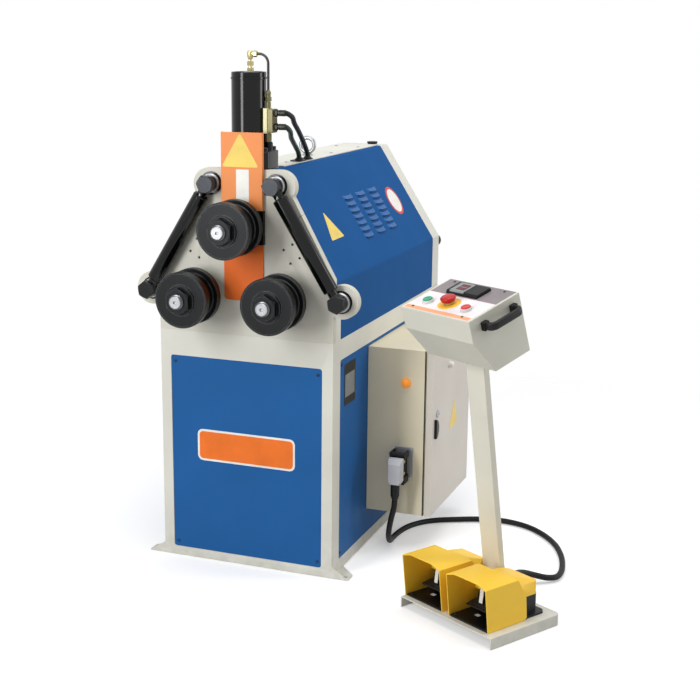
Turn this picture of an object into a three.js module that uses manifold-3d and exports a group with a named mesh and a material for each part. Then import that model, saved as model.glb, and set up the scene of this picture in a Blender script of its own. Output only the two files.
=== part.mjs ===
// Hydraulic three-roll section and tube bender with its electric enclosure, cable and control pedestal.
// Millimetres: X to the right, Y backwards, Z up. The origin is the middle of the front foot's underside.
// Inside the machine group Y 0 is the front plane of the cabinet and of the head plate.

import * as THREE from "three";
import { mergeVertices } from "three/addons/utils/BufferGeometryUtils.js";
import Module from "manifold-3d";

const wasm = await Module();
wasm.setup();

// Fits and cuts shared by the whole machine
const clearance = 0.3;
const running = 0.5;
const overrun = 10;
const weld = 1e-4;
const sides = { small: 8, pin: 10, bore: 20, shaft: 24, roll: 32, barrel: 28, tube: 16, lug: 32, round: 2 };

// Cabinet frame, feet and panels
const cabinet = {
  width: 530,
  depth: 1000,
  height: 684,
  wall: 6,
  postFace: 32,
  postSide: 59,
  frontRail: 74,
  sideRail: 59.5,
  frontSill: 26.6,
  sideSill: 35,
  floorSheet: 4,
  floorRise: 31,
  cornerRadius: 8,
  ledge: 12,
  ledgeSheet: 1.5,
  hornSheet: 4,
  hornRise: 66,
};
const foot = {
  reach: 49.5,
  leg: 40,
  upright: 34,
  root: 96,
  sheet: 4,
  holeRadius: 6,
  holeInset: 13,
  holeBack: 17,
};
const panel = { sheet: 2 };

// Head housing: front plate with lugs, inner bearing plate, webs and ram guides
const head = {
  plate: 25,
  space: 75,
  height: 466,
  shoulderRise: 175,
  waistHalf: 146,
  waistRise: 392,
  lowerLug: { reach: 24, rise: 117, radius: 47 },
  upperLug: { across: 107, drop: 45.5, radius: 45.5 },
  lowerPin: { reach: 22.5, rise: 117.3 },
  upperPin: { across: 97.6, drop: 42 },
  innerInset: 5,
  innerTopHalf: 52,
  web: 16,
  webAcross: 204,
  webRise: 215,
  guide: 20,
  slotRise: 128,
  guideDrop: 10,
  boltHoleGap: 0.5,
  adjustRadius: 4,
  adjustDepth: 12,
};
// Adjusting holes as shares of half the cabinet width and of the head height, for the right side
const adjustHoleShares = [
  [0.545, 0.571],
  [0.446, 0.536],
  [0.624, 0.494],
  [0.523, 0.458],
];

// Rolls, shafts and clamping nuts
const roll = {
  radius: 77.75,
  bodyRadius: 64,
  disc: 22,
  length: 94.5,
  front: 141.5,
  chamfer: 1.5,
  lowerAcross: 127.6,
  lowerRise: 116.2,
  upperRise: 312.2,
};
const shaft = {
  radius: 20,
  stickOut: 34.5,
  chamfer: 1.5,
  shoulderRadius: 42,
  journalRadius: 30,
  centreRadius: 4,
  centreDepth: 8,
  rearGap: 3,
};
const nut = { flats: 66, height: 17, collarRadius: 42.5, collar: 6 };

// Ram and its covers
const ram = {
  half: 55,
  below: 76.5,
  above: 78.5,
  flangeHalf: 64,
  flangeBelow: 51.5,
  flangeAbove: 42.2,
  flangeFront: 11.2,
};
const upperCover = { half: 61.5, sheet: 2.5, lip: 12, height: 211 };
const lowerCover = { half: 60, sheet: 3, height: 159.7, cornerRadius: 12 };
const rod = { radius: 25, length: 225, pistonRadius: 38.5, piston: 40 };

// Hydraulic cylinder and its pipework
const cylinder = {
  back: 39,
  radius: 48,
  bore: 39,
  flangeHalf: 72,
  flangeDepth: 84,
  flangeHeight: 48,
  flangeCorner: 14,
  neckRadius: 49,
  neck: 21,
  barrel: 190,
  cap: 24,
  ringRadius: 49.6,
  ringHeight: 8,
  ringDrop: 13,
  bossAcross: 60,
  bossRadius: 12,
  boss: 24,
};
const pipe = {
  radius: 4,
  bend: 26,
  across: 57.5,
  sides: 8,
  steps: 16,
  start: 5,
  nutRadius: 9,
  stub: 24,
  elbowRadius: 9,
  rise: 47,
  sideNut: 16,
  fittingRadius: 8,
  fitting: 47,
};
const valve = {
  inner: 48.4,
  plate: 12.6,
  block: 16,
  half: 17,
  height: 68,
  blockInset: 2.125,
  stubRadius: 8,
  stub: 22.4,
  hoseFitting: 21,
  hoseFittingRadius: 8,
  upperDrop: 13,
  lowerDrop: 50,
};
const hose = { radius: 7, sides: 8, steps: 16 };
const inlet = { across: 49, half: 18, front: 250, depth: 102, height: 3 };

// Hood, rear cap and what stands on them
const hood = { sheet: 2.5, foldRise: 164, topHalf: 76, topRise: 463, lip: 16 };
const louvre = {
  columns: 3,
  rows: 7,
  first: 388,
  columnPitch: 109,
  length: 72,
  start: 84,
  pitch: 21.4,
  height: 5,
  reach: 12,
  skin: 1.2,
};
const topCover = { half: 68, sheet: 3 };
const rearCap = { wall: 3, depth: 70 };
const knob = { inset: 22, rise: 143, radius: 20.5, stem: 8, stemLength: 10, length: 42 };
const breather = { across: 36, inset: 35, radius: 17.5, topRadius: 15.75, height: 10 };
const eye = {
  across: 4,
  back: 460,
  ringRadius: 21.5,
  wire: 6,
  collarRadius: 15,
  collarTopRadius: 9.6,
  collar: 9,
};

// Tie bars and their bolts
const tieBar = { radius: 21.5, plane: 24, endInset: 38, eyeRadius: 27, neckRadius: 14 };
const bolt = { radius: 15, flats: 46, head: 18.7, headFront: 46, washerRadius: 26, washer: 4.7, eye: 21.4 };

// Drive and power pack behind the panels
const gearmotor = {
  half: 185,
  depth: 175,
  height: 200,
  motorRadius: 95,
  motor: 300,
  flange: 20,
  flangeRadius: 100,
  rise: 110,
};
const powerPack = {
  half: 200,
  front: 300,
  depth: 480,
  height: 220,
  lid: 12,
  lidReach: 10,
  motorRadius: 75,
  motor: 260,
  seat: 30,
};

// Electric enclosure on the right side, between the floor and the cabinet's top rail
const enclosure = {
  front: 299.3,
  depth: 405.7,
  bottom: 111.5,
  drop: 69,
  reach: 177.9,
  wall: 2,
  rim: 14,
};
const door = { seam: 2.5, thick: 19.5, skin: 2, border: 12, sealInset: 5, seal: 6 };
const pull = { inset: 76, rise: 239, radius: 29, thick: 8 };
const lock = {
  inset: 51,
  rise: 304.5,
  radius: 8,
  headRadius: 11,
  head: 4,
  cam: 18,
  camHalf: 4,
  camSheet: 3,
  slit: 1,
};
const lamp = { reach: 118, drop: 101, radius: 15, collar: 4, length: 14 };
// Radii of the lens as shares of the collar's radius: swing of the dome and its flat tip
const lensShares = { dome: 0.6, tip: 0.2 };
const socket = {
  reach: 113,
  rise: 156.5,
  half: 26,
  halfHeight: 47,
  sheet: 4,
  bodyHalf: 22,
  bodyHalfHeight: 38,
  body: 20,
  lever: 12,
  leverHalf: 28,
  leverDepth: 14,
};
const plug = {
  half: 24,
  length: 62,
  height: 76,
  chamfer: 16,
  taper: 20,
  taperHeight: 24,
  sleeveRadius: 11,
  sleeve: 50,
  sleeveBack: 15,
};

// Cable from the plug to the gland on the post: a route chosen by hand, in machine coordinates
const cable = { radius: 8.5, sides: 8, steps: 60 };
const cableRoute = [
  [376.1, 227.7, 179.7],
  [376, 228, 150],
  [373, 231, 108],
  [361, 242, 60],
  [344, 270, 25],
  [334, 310, 11],
  [339, 370, 9.2],
  [354, 456, 9.2],
  [392, 536, 9.2],
  [467, 584, 9.2],
  [530, 611, 9.2],
  [604, 626, 9.2],
  [680, 608, 9.2],
  [742, 562, 9.2],
  [798, 490, 9.2],
  [836, 404, 9.2],
  [855, 330, 9.2],
  [862, 272, 9.6],
  [857, 228, 12],
  [836, 205, 16],
  [808, 190, 24],
  [784, 168, 36],
  [773, 138, 47],
  [770, 100, 57],
  [770, 62, 64],
  [764.6, 21, 66],
  [754.85, 4.3, 66],
];
// Hoses from the valve block to the inlet plate on the top cover: X, Y and rise above the head's foot
const upperHoseRoute = [
  [98.4, 39, 616.1],
  [109, 39, 616.1],
  [114, 68, 605.7],
  [101, 118, 584.7],
  [88, 181, 558.7],
  [72, 254, 525.7],
  [59, 316, 491.7],
  [58, 325, 479.7],
  [58, 325, 470.1],
];
const lowerHoseRoute = [
  [98.4, 39, 579.1],
  [108, 39, 579.1],
  [109, 66, 567.7],
  [90, 123, 543.7],
  [70, 200, 515.7],
  [56, 260, 489.7],
  [54, 269, 478.7],
  [54, 269, 470.1],
];

// Control pedestal: its own frame, turned towards the operator
const pedestal = { across: 655.5, back: -195.7, turn: -30.26 };
const base = { centre: -3, width: 338, depth: 257, height: 31, sheet: 3, cornerRadius: 14 };
const post = { centre: -15, width: 64, thick: 20, front: 193.5, lean: 8.7 };
const gland = { rise: 35, radius: 13, length: 14 };
const box = {
  centre: -15,
  width: 242,
  front: -52.9,
  topRise: 839.6,
  tilt: 17.5,
  depth: 178,
  height: 160,
  faceHeight: 60,
  sole: 124,
};
const display = { centre: -17, half: 52, front: 110, depth: 60, height: 14, chamfer: 5 };
const handle = {
  front: 44,
  pitch: 101,
  drop: 28,
  standOff: 32,
  radius: 6,
  upRadius: 9.5,
  footHalf: 8,
  footUp: 10.5,
  foot: 12,
  bend: 14,
  steps: 16,
};
const button = { bezelRadius: 15, bezel: 8, capRadius: 12, cap: 3, stem: 22, stemRadius: 8, travel: 4 };
const startButton = { across: -77, front: 55 };
const stopButton = { across: 59, front: 53 };
const emergency = {
  across: -11,
  front: 62,
  ringRadius: 30,
  ring: 2,
  collarRadius: 14,
  collar: 12,
  headRadius: 20,
  neckRadius: 15,
  head: 14,
  stemRadius: 9,
  stem: 24,
  travel: 6,
};

// Pedal switches: guard, black switch body and tilting pedal
const pedal = { centre: -15, pitch: 168 };
const guard = {
  width: 144,
  depth: 156,
  height: 129,
  sheet: 2.5,
  chamfer: 30,
  chamferDrop: 10,
  roomDepth: 108,
};
// Side outline of the guard as shares of its depth and height
const guardOutlineShares = [
  [0.094, 0],
  [0, 1],
  [0.76, 0.93],
  [0.968, 0.52],
  [1, 0.054],
  [0.936, 0],
];
const housing = {
  width: 112,
  front: 108,
  depth: 105,
  bottom: 55.3,
  height: 54,
  chamfer: 18,
  taperStart: 165,
  taperShare: 0.4,
  corner: 10,
};
// Side outline of the rear housing as shares of its depth and height
const housingOutlineShares = [
  [0, 0],
  [1, 0],
  [1, 0.6],
  [0.93, 0.72],
  [0.35, 1],
  [0, 1],
];
const switchBody = {
  width: 108,
  front: 122,
  depth: 95,
  base: 5,
  baseFront: 16,
  baseDepth: 217,
  baseWidth: 134,
  baseCorner: 12,
  waistHalf: 50,
  waistBack: 190,
  tailHalf: 44,
};
const tread = {
  width: 84,
  pivotBack: 106,
  pivotRise: 40,
  pivotRadius: 5,
  length: 58,
  thick: 5,
  slope: 8,
  cheek: 6,
  lugReach: 9,
};
const toeLever = { across: -8, half: 8, front: 81, thick: 6, lean: 6, height: 46 };

// Colours and finishes
const paint = (color, roughness, metalness) =>
  new THREE.MeshStandardMaterial({ color, roughness, metalness, flatShading: true });
const colours = {
  cream: 0xd9d5c6,
  blue: 0x235d9e,
  orange: 0xee8a45,
  yellow: 0xf2c230,
  black: 0x1a1c1d,
  glossBlack: 0x101214,
  steel: 0xb8bbc0,
  brass: 0xb09a55,
  green: 0x2a9a7a,
  red: 0xc62828,
  grey: 0x9a9ba3,
  rubber: 0x1d201f,
};

// A closed geometry as a solid facing outwards, whichever way its outline was drawn
function solid(geometry) {
  const bare = geometry.clone();
  bare.deleteAttribute("normal");
  bare.deleteAttribute("uv");
  const merged = mergeVertices(bare, weld);
  const at = merged.attributes.position.array;
  const faces = [];
  const corner = (i) => new THREE.Vector3(at[3 * i], at[3 * i + 1], at[3 * i + 2]);
  let volume = 0;
  for (let i = 0; i < merged.index.count; i += 3) {
    const [a, b, c] = [0, 1, 2].map((k) => merged.index.getX(i + k));
    if (a === b || b === c || c === a) continue;
    faces.push([a, b, c]);
    volume += corner(a).dot(corner(b).cross(corner(c)));
  }
  const order = volume < 0 ? [0, 2, 1] : [0, 1, 2];
  const triVerts = new Uint32Array(faces.flatMap((face) => order.map((k) => face[k])));
  return new wasm.Manifold(new wasm.Mesh({ numProp: 3, vertProperties: at, triVerts }));
}

// Named mesh of a solid
function piece(name, body, material) {
  const made = body.getMesh();
  const geometry = new THREE.BufferGeometry();
  geometry.setAttribute("position", new THREE.BufferAttribute(new Float32Array(made.vertProperties), 3));
  geometry.setIndex(new THREE.BufferAttribute(new Uint32Array(made.triVerts), 1));
  geometry.computeVertexNormals();
  const mesh = new THREE.Mesh(geometry, material);
  mesh.name = name;
  return mesh;
}

const union = (...bodies) => bodies.reduce((whole, next) => whole.add(next));
const cut = (body, ...tools) => tools.reduce((left, tool) => left.subtract(tool), body);

function block(x0, x1, y0, y1, z0, z1) {
  const geometry = new THREE.BoxGeometry(x1 - x0, y1 - y0, z1 - z0);
  return solid(geometry.translate((x0 + x1) / 2, (y0 + y1) / 2, (z0 + z1) / 2));
}

const outline = (points) => new THREE.Shape(points.map(([a, b]) => new THREE.Vector2(a, b)));

function roundedOutline(a0, a1, b0, b1, radius) {
  const shape = new THREE.Shape();
  shape.absarc(a1 - radius, b0 + radius, radius, -Math.PI / 2, 0);
  shape.absarc(a1 - radius, b1 - radius, radius, 0, Math.PI / 2);
  shape.absarc(a0 + radius, b1 - radius, radius, Math.PI / 2, Math.PI);
  shape.absarc(a0 + radius, b0 + radius, radius, Math.PI, 1.5 * Math.PI);
  return shape;
}

const extruded = (shape, depth) =>
  new THREE.ExtrudeGeometry(shape, { depth, bevelEnabled: false, curveSegments: sides.round });

// Outline in X and Z, drawn out along Y
const prismY = (shape, y0, y1) => solid(extruded(shape, y1 - y0).rotateX(Math.PI / 2).translate(0, y1, 0));

// Outline in Y and Z, drawn out along X
function prismX(shape, x0, x1) {
  const turn = new THREE.Matrix4().makeBasis(
    new THREE.Vector3(0, 1, 0),
    new THREE.Vector3(0, 0, 1),
    new THREE.Vector3(1, 0, 0),
  );
  return solid(extruded(shape, x1 - x0).applyMatrix4(turn).translate(x0, 0, 0));
}

// Outline in X and Y, drawn out along Z
const prismZ = (shape, z0, z1) => solid(extruded(shape, z1 - z0).translate(0, 0, z0));

function discY(x, z, radius, y0, y1, count, frontRadius = radius) {
  const geometry = new THREE.CylinderGeometry(radius, frontRadius, y1 - y0, count);
  return solid(geometry.translate(x, (y0 + y1) / 2, z));
}

function discZ(x, y, radius, z0, z1, count, topRadius = radius) {
  const geometry = new THREE.CylinderGeometry(topRadius, radius, z1 - z0, count).rotateX(Math.PI / 2);
  return solid(geometry.translate(x, y, (z0 + z1) / 2));
}

function discX(y, z, radius, x0, x1, count) {
  const geometry = new THREE.CylinderGeometry(radius, radius, x1 - x0, count).rotateZ(Math.PI / 2);
  return solid(geometry.translate((x0 + x1) / 2, y, z));
}

// Profile of radii and Y places, turned about a line along Y through (x, z)
function turned(profile, x, z, count) {
  const points = profile.map(([radius, y]) => new THREE.Vector2(radius, y));
  return solid(new THREE.LatheGeometry(points, count).translate(x, 0, z));
}

// Tube along a smooth route, round or taller than it is wide
function tube(route, radius, count, steps, upRadius = radius) {
  const places = route.map((point) => new THREE.Vector3(...point));
  const path = new THREE.CatmullRomCurve3(places, false, "centripetal");
  const ring = Array.from({ length: count }, (_, i) => {
    const angle = (2 * Math.PI * i) / count;
    return new THREE.Vector2(radius * Math.cos(angle), upRadius * Math.sin(angle));
  });
  const geometry = new THREE.ExtrudeGeometry(new THREE.Shape(ring), { extrudePath: path, steps });
  return solid(geometry);
}

// Hexagon across flats with its axis along Y
const hexagonY = (x, z, flats, y0, y1) => discY(x, z, flats / Math.sqrt(3), y0, y1, 6);

const mirrored = (points) => [...points, ...points.map(([a, b]) => [-a, b]).reverse()];
const scaled = (shares, width, height) => shares.map(([a, b]) => [a * width, b * height]);

// Sheet along an open outline, with its thickness on the left of the direction of travel
function foldedSheet(points, thickness) {
  const path = points.map(([a, b]) => new THREE.Vector2(a, b));
  const normals = path.slice(1).map((end, i) => {
    const along = end.clone().sub(path[i]).normalize();
    return new THREE.Vector2(-along.y, along.x);
  });
  const inner = path.map((point, i) => {
    const before = normals[Math.max(i - 1, 0)];
    const after = normals[Math.min(i, normals.length - 1)];
    const middle = before.clone().add(after).normalize();
    return point.clone().addScaledVector(middle, thickness / middle.dot(after));
  });
  return new THREE.Shape([...path, ...inner.reverse()]);
}

// Levels and lines that several pieces share
const half = cabinet.width / 2;
const headBase = cabinet.height + clearance;
const headTop = headBase + head.height;
const headRear = 2 * head.plate + head.space;
const upperAxis = headBase + roll.upperRise;
const lowerAxis = headBase + roll.lowerRise;
const rollRear = -roll.front + roll.length;
const aboveHead = (route) => route.map(([x, y, rise]) => [x, y, headBase + rise]);
const panelRecess = cabinet.wall - cabinet.ledgeSheet - clearance - panel.sheet;
const frontOpening = [
  -half + cabinet.postFace,
  half - cabinet.postFace,
  cabinet.frontSill,
  cabinet.height - cabinet.frontRail,
];
const sideOpening = [
  cabinet.postSide,
  cabinet.depth - cabinet.postSide,
  cabinet.sideSill,
  cabinet.height - cabinet.sideRail,
];
const inset = ([a0, a1, b0, b1], by) => [a0 + by, a1 - by, b0 + by, b1 - by];
const openingShape = (opening, by) => roundedOutline(...inset(opening, by), cabinet.cornerRadius);
const ledgeShape = ([a0, a1, b0, b1]) => outline([[a0, b0], [a1, b0], [a1, b1], [a0, b1]]);

// Cabinet frame: folded posts and rails with ledges for the panels, a floor sheet and foot angles
function cabinetFrame() {
  const { wall, depth, height } = cabinet;
  const inside = (z0, z1) => block(-half + wall, half - wall, wall, depth - wall, z0, z1);
  const floorTop = cabinet.floorRise + cabinet.floorSheet;
  const shell = cut(
    block(-half, half, 0, depth, foot.sheet, height),
    inside(floorTop, height - wall),
    inside(-overrun, cabinet.floorRise),
  );
  const horn = (side) => {
    const edges = [side * half, side * (half - cabinet.hornSheet)].sort((a, b) => a - b);
    const front = head.plate + clearance;
    return block(...edges, front, cabinet.postSide, height - wall, height + cabinet.hornRise);
  };
  const whole = union(shell, footAngle(0, 1), footAngle(depth, -1), horn(-1), horn(1));
  const deep = wall - cabinet.ledgeSheet;
  return cut(
    whole,
    prismY(openingShape(frontOpening, 0), -overrun, deep),
    prismY(ledgeShape(inset(frontOpening, cabinet.ledge)), -overrun, wall + overrun),
    prismY(openingShape(frontOpening, 0), depth - deep, depth + overrun),
    prismY(ledgeShape(inset(frontOpening, cabinet.ledge)), depth - wall - overrun, depth + overrun),
    prismX(openingShape(sideOpening, 0), half - deep, half + overrun),
    prismX(openingShape(sideOpening, 0), -half - overrun, -half + deep),
    prismX(ledgeShape(inset(sideOpening, cabinet.ledge)), -half - overrun, half + overrun),
  );
}

// Foot across the cabinet: upright leg that runs down to its tips, and a flat leg that widens to the sides
function footAngle(edge, inward) {
  const tip = half + foot.reach;
  const place = (back) => edge + inward * back;
  const [y0, y1] = [place(0), place(foot.sheet)].sort((a, b) => a - b);
  const upright = outline(mirrored([[tip, 0], [half, foot.upright]]));
  const plan = outline(mirrored([[tip, place(0)], [tip, place(foot.leg)], [half, place(foot.root)]]));
  const hole = (side) =>
    discZ(side * (tip - foot.holeInset), place(foot.holeBack), foot.holeRadius, -overrun, overrun, sides.pin);
  return cut(union(prismY(upright, y0, y1), prismZ(plan, 0, foot.sheet)), hole(-1), hole(1));
}

const acrossPanel = (y0) => prismY(openingShape(frontOpening, clearance), y0, y0 + panel.sheet);
const sidePanel = (x0) => prismX(openingShape(sideOpening, clearance), x0, x0 + panel.sheet);

// Ends of a tie bar: its lower and upper bolts
const lowerPinAt = (side) => [side * (half + head.lowerPin.reach), headBase + head.lowerPin.rise];
const upperPinAt = (side) => [side * head.upperPin.across, headTop - head.upperPin.drop];

// Head housing: front plate with lugs and slot, webs, ram guides and the inner bearing plate
function headHousing() {
  const at = (rise) => headBase + rise;
  const front = outline(
    mirrored([
      [half, headBase],
      [half, at(head.shoulderRise)],
      [head.waistHalf, at(head.waistRise)],
      [head.upperLug.across, headTop],
    ]),
  );
  const both = (make) => union(make(-1), make(1));
  const lugs = both((side) => {
    const { lowerLug, upperLug } = head;
    const lower = side * (half + lowerLug.reach);
    const upper = side * upperLug.across;
    return union(
      discY(lower, at(lowerLug.rise), lowerLug.radius, 0, head.plate, sides.lug),
      discY(upper, headTop - upperLug.drop, upperLug.radius, 0, head.plate, sides.lug),
    );
  });
  const innerHalf = half - hood.sheet - head.innerInset;
  const inner = outline(
    mirrored([
      [innerHalf, headBase],
      [innerHalf, headBase + hood.foldRise - head.innerInset],
      [hood.topHalf - head.innerInset, headBase + hood.topRise - 2 * head.innerInset],
      [head.innerTopHalf, headBase + hood.topRise - 2 * head.innerInset],
      [head.innerTopHalf, headTop],
    ]),
  );
  const webs = both((side) => {
    const across = side * head.webAcross;
    const top = at(head.webRise);
    return block(across - head.web / 2, across + head.web / 2, 0, headRear, headBase, top);
  });
  const slotHalf = ram.half + running;
  const slotBottom = at(head.slotRise);
  const guides = both((side) => {
    const edges = [side * slotHalf, side * (slotHalf + head.guide)].sort((a, b) => a - b);
    return block(...edges, 0, headRear, slotBottom, headTop - head.guideDrop);
  });
  const housing = union(
    prismY(front, 0, head.plate),
    lugs,
    prismY(inner, headRear - head.plate, headRear),
    webs,
    guides,
  );
  const bearingRadius = shaft.journalRadius + running;
  const journals = both((side) =>
    discY(side * roll.lowerAcross, lowerAxis, bearingRadius, -overrun, headRear + overrun, sides.bore),
  );
  const holeRadius = bolt.radius + head.boltHoleGap;
  const hole = ([x, z]) => discY(x, z, holeRadius, -overrun, head.plate + overrun, sides.bore);
  const pins = both((side) => union(hole(lowerPinAt(side)), hole(upperPinAt(side))));
  const slot = block(-slotHalf, slotHalf, -overrun, headRear - head.plate, slotBottom, headTop + overrun);
  const { adjustRadius, adjustDepth } = head;
  const adjustHole = (x, z) => discY(x, z, adjustRadius, -overrun, adjustDepth, sides.small);
  const adjusting = both((side) => {
    const holes = adjustHoleShares.map(([across, rise]) => [side * across * half, at(rise * head.height)]);
    return union(...holes.map(([x, z]) => adjustHole(x, z)));
  });
  return cut(housing, journals, pins, slot, adjusting);
}

// Bending roll: two flanges on a slimmer body, bored for the shaft
function bendingRoll(x, z) {
  const bore = shaft.radius + running;
  const { radius, chamfer, disc } = roll;
  const front = -roll.front;
  const profile = [
    [bore, front],
    [radius - chamfer, front],
    [radius, front + chamfer],
    [radius, front + disc],
    [roll.bodyRadius, front + disc],
    [roll.bodyRadius, rollRear - disc],
    [radius, rollRear - disc],
    [radius, rollRear - chamfer],
    [radius - chamfer, rollRear],
    [bore, rollRear],
    [bore, front],
  ];
  return turned(profile, x, z, sides.roll);
}

// Roll shaft: threaded front end, roll seat, shoulder behind the roll and journal in the bearings
function rollShaft(x, z, shoulderEnd, rear) {
  const front = -roll.front - shaft.stickOut;
  const profile = [
    [0, front + shaft.centreDepth],
    [shaft.centreRadius, front],
    [shaft.radius - shaft.chamfer, front],
    [shaft.radius, front + shaft.chamfer],
    [shaft.radius, rollRear + clearance],
    [shaft.shoulderRadius, rollRear + clearance],
    [shaft.shoulderRadius, shoulderEnd],
    [shaft.journalRadius, shoulderEnd],
    [shaft.journalRadius, rear],
    [0, rear],
  ];
  return turned(profile, x, z, sides.shaft);
}

// Clamping nut on its collar
function clampingNut(x, z) {
  const seat = -roll.front - clearance;
  const collar = discY(x, z, nut.collarRadius, seat - nut.collar, seat, sides.shaft);
  const hexagon = hexagonY(x, z, nut.flats, seat - nut.collar - nut.height, seat - nut.collar);
  const bore = discY(x, z, shaft.radius + running, -2 * roll.front, 0, sides.shaft);
  return cut(union(collar, hexagon), bore);
}

// Ram: wide flange in front of the head plate, neck through the slot and bearing for the upper shaft
function ramBlock() {
  const bottom = upperAxis - ram.below;
  const top = upperAxis + ram.above;
  const rear = headRear - head.plate - running;
  const flangeBottom = upperAxis - ram.flangeBelow;
  const flangeTop = upperAxis + ram.flangeAbove;
  const padHalf = upperCover.half - upperCover.sheet - clearance;
  const body = union(
    block(-ram.half, ram.half, -running + clearance, rear, bottom, top),
    block(-ram.half, ram.half, -ram.flangeFront, rear, flangeBottom, top),
    block(-ram.flangeHalf, ram.flangeHalf, -ram.flangeFront, -running, flangeBottom, flangeTop),
    block(-padHalf, padHalf, -ram.flangeFront, -running, flangeTop, top),
  );
  return cut(body, discY(0, upperAxis, shaft.journalRadius + running, -2 * roll.front, headRear, sides.bore));
}

// Upper cover: channel of folded sheet over the ram and the foot of the cylinder
function coverAbove() {
  const bottom = upperAxis + ram.flangeAbove + clearance;
  const inner = -ram.flangeFront - clearance;
  const outer = inner - upperCover.sheet;
  const { half: wide, sheet, height, lip } = upperCover;
  const channel = block(-wide, wide, outer, outer + lip, bottom, bottom + height);
  const top = bottom + height;
  const inside = wide - sheet;
  return cut(channel, block(-inside, inside, inner, outer + lip + overrun, bottom - overrun, top + overrun));
}

// Lower cover: flat sheet with round lower corners that closes the slot below the ram
function coverBelow() {
  const top = upperAxis - ram.flangeBelow - clearance;
  const bottom = top - lowerCover.height;
  const { half: wide, cornerRadius: radius } = lowerCover;
  const shape = new THREE.Shape();
  shape.moveTo(wide, top);
  shape.lineTo(-wide, top);
  shape.absarc(-wide + radius, bottom + radius, radius, Math.PI, 1.5 * Math.PI);
  shape.absarc(wide - radius, bottom + radius, radius, 1.5 * Math.PI, 2 * Math.PI);
  return prismY(shape, -running - lowerCover.sheet, -running);
}

// Piston rod with its piston, standing on the ram
function pistonRod() {
  const foot = upperAxis + ram.above + clearance;
  const top = foot + rod.length;
  return union(
    discZ(0, cylinder.back, rod.radius, foot, top, sides.shaft),
    discZ(0, cylinder.back, rod.pistonRadius, top, top + rod.piston, sides.barrel),
  );
}

// Hydraulic cylinder: mounting flange, neck, barrel with its cap ring, and the port boss
const cylinderBase = headTop + clearance;
const flangeTop = cylinderBase + cylinder.flangeHeight;
const barrelBase = flangeTop + cylinder.neck;
const cylinderTop = barrelBase + cylinder.barrel;
function hydraulicCylinder() {
  const { back, radius, flangeHalf, flangeDepth, flangeCorner } = cylinder;
  const ringTop = cylinderTop - cylinder.ringDrop;
  const body = union(
    prismZ(roundedOutline(-flangeHalf, flangeHalf, 0, flangeDepth, flangeCorner), cylinderBase, flangeTop),
    discZ(0, back, cylinder.neckRadius, cylinderBase, flangeTop, sides.barrel),
    discZ(0, back, cylinder.neckRadius, flangeTop, barrelBase, sides.barrel, radius),
    discZ(0, back, radius, barrelBase, cylinderTop, sides.barrel),
    discZ(0, back, cylinder.ringRadius, ringTop - cylinder.ringHeight, ringTop, sides.barrel),
    discZ(cylinder.bossAcross, back, cylinder.bossRadius, flangeTop, flangeTop + cylinder.boss, sides.pin),
  );
  const { bore, cap, neck } = cylinder;
  const chamber = discZ(0, back, bore, barrelBase - neck, cylinderTop - cap, sides.barrel);
  const rodHoleRadius = rod.radius + running;
  const rodHole = discZ(0, back, rodHoleRadius, cylinderBase - overrun, flangeTop + overrun, sides.shaft);
  return cut(body, chamber, rodHole);
}

// Valve block beside the barrel with its hose fittings, standing on the port boss
const valveBase = flangeTop + cylinder.boss + clearance + valve.stub;
const valveTop = valveBase + valve.height;
const hoseStart = valve.inner + valve.plate + valve.block + valve.hoseFitting;
function valveBlock() {
  const { inner, plate, block: thick, half: deep } = valve;
  const { back } = cylinder;
  const blockBase = valveBase + valve.blockInset;
  const blockTop = valveTop - valve.blockInset;
  const fitting = (drop) =>
    discX(back, valveTop - drop, valve.hoseFittingRadius, hoseStart - valve.hoseFitting, hoseStart, 6);
  return union(
    block(inner, inner + plate, back - deep, back + deep, valveBase, valveTop),
    block(inner + plate, inner + plate + thick, back - deep, back + deep, blockBase, blockTop),
    discZ(pipe.across, back, valve.stubRadius, valveBase - valve.stub, valveBase, 6),
    fitting(valve.upperDrop),
    fitting(valve.lowerDrop),
  );
}

// Pressure pipe: elbow on the cylinder cap, bent pipe and the fittings down to the valve block
function pressurePipe() {
  const { back } = cylinder;
  const foot = cylinderTop + clearance;
  const level = cylinderTop + pipe.rise;
  const elbowSide = pipe.start + pipe.elbowRadius + pipe.sideNut;
  const fittingTop = valveTop + clearance + pipe.fitting;
  const third = pipe.fitting / 3;
  const corner = (angle) => [
    pipe.across - pipe.bend + pipe.bend * Math.sin(angle),
    back,
    level - pipe.bend + pipe.bend * Math.cos(angle),
  ];
  const bend = Array.from({ length: 7 }, (_, i) => corner((i * Math.PI) / 12));
  const route = [[elbowSide - pipe.sideNut, back, level], ...bend, [pipe.across, back, fittingTop - third]];
  return union(
    discZ(pipe.start, back, pipe.nutRadius, foot, foot + pipe.stub, 6),
    discZ(pipe.start, back, pipe.fittingRadius, foot, level + pipe.fittingRadius, sides.pin),
    discX(back, level, pipe.nutRadius, pipe.start, elbowSide, 6),
    tube(route, pipe.radius, pipe.sides, pipe.steps),
    discZ(pipe.across, back, pipe.fittingRadius, fittingTop - pipe.fitting, fittingTop - third, sides.pin),
    discZ(pipe.across, back, pipe.nutRadius, fittingTop - 2 * third, fittingTop - third, 6),
    discZ(pipe.across, back, pipe.fittingRadius, fittingTop - third, fittingTop, sides.pin, pipe.radius),
  );
}

// Where the hood ends, and the outline that it shares with its rear cap, drawn in from the cabinet's width
const hoodRear = cabinet.depth - rearCap.depth;
const hoodCorners = (by) => [
  [half - by, headBase],
  [half - by, headBase + hood.foldRise],
  [hood.topHalf - by, headBase + hood.topRise - by],
];

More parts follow.
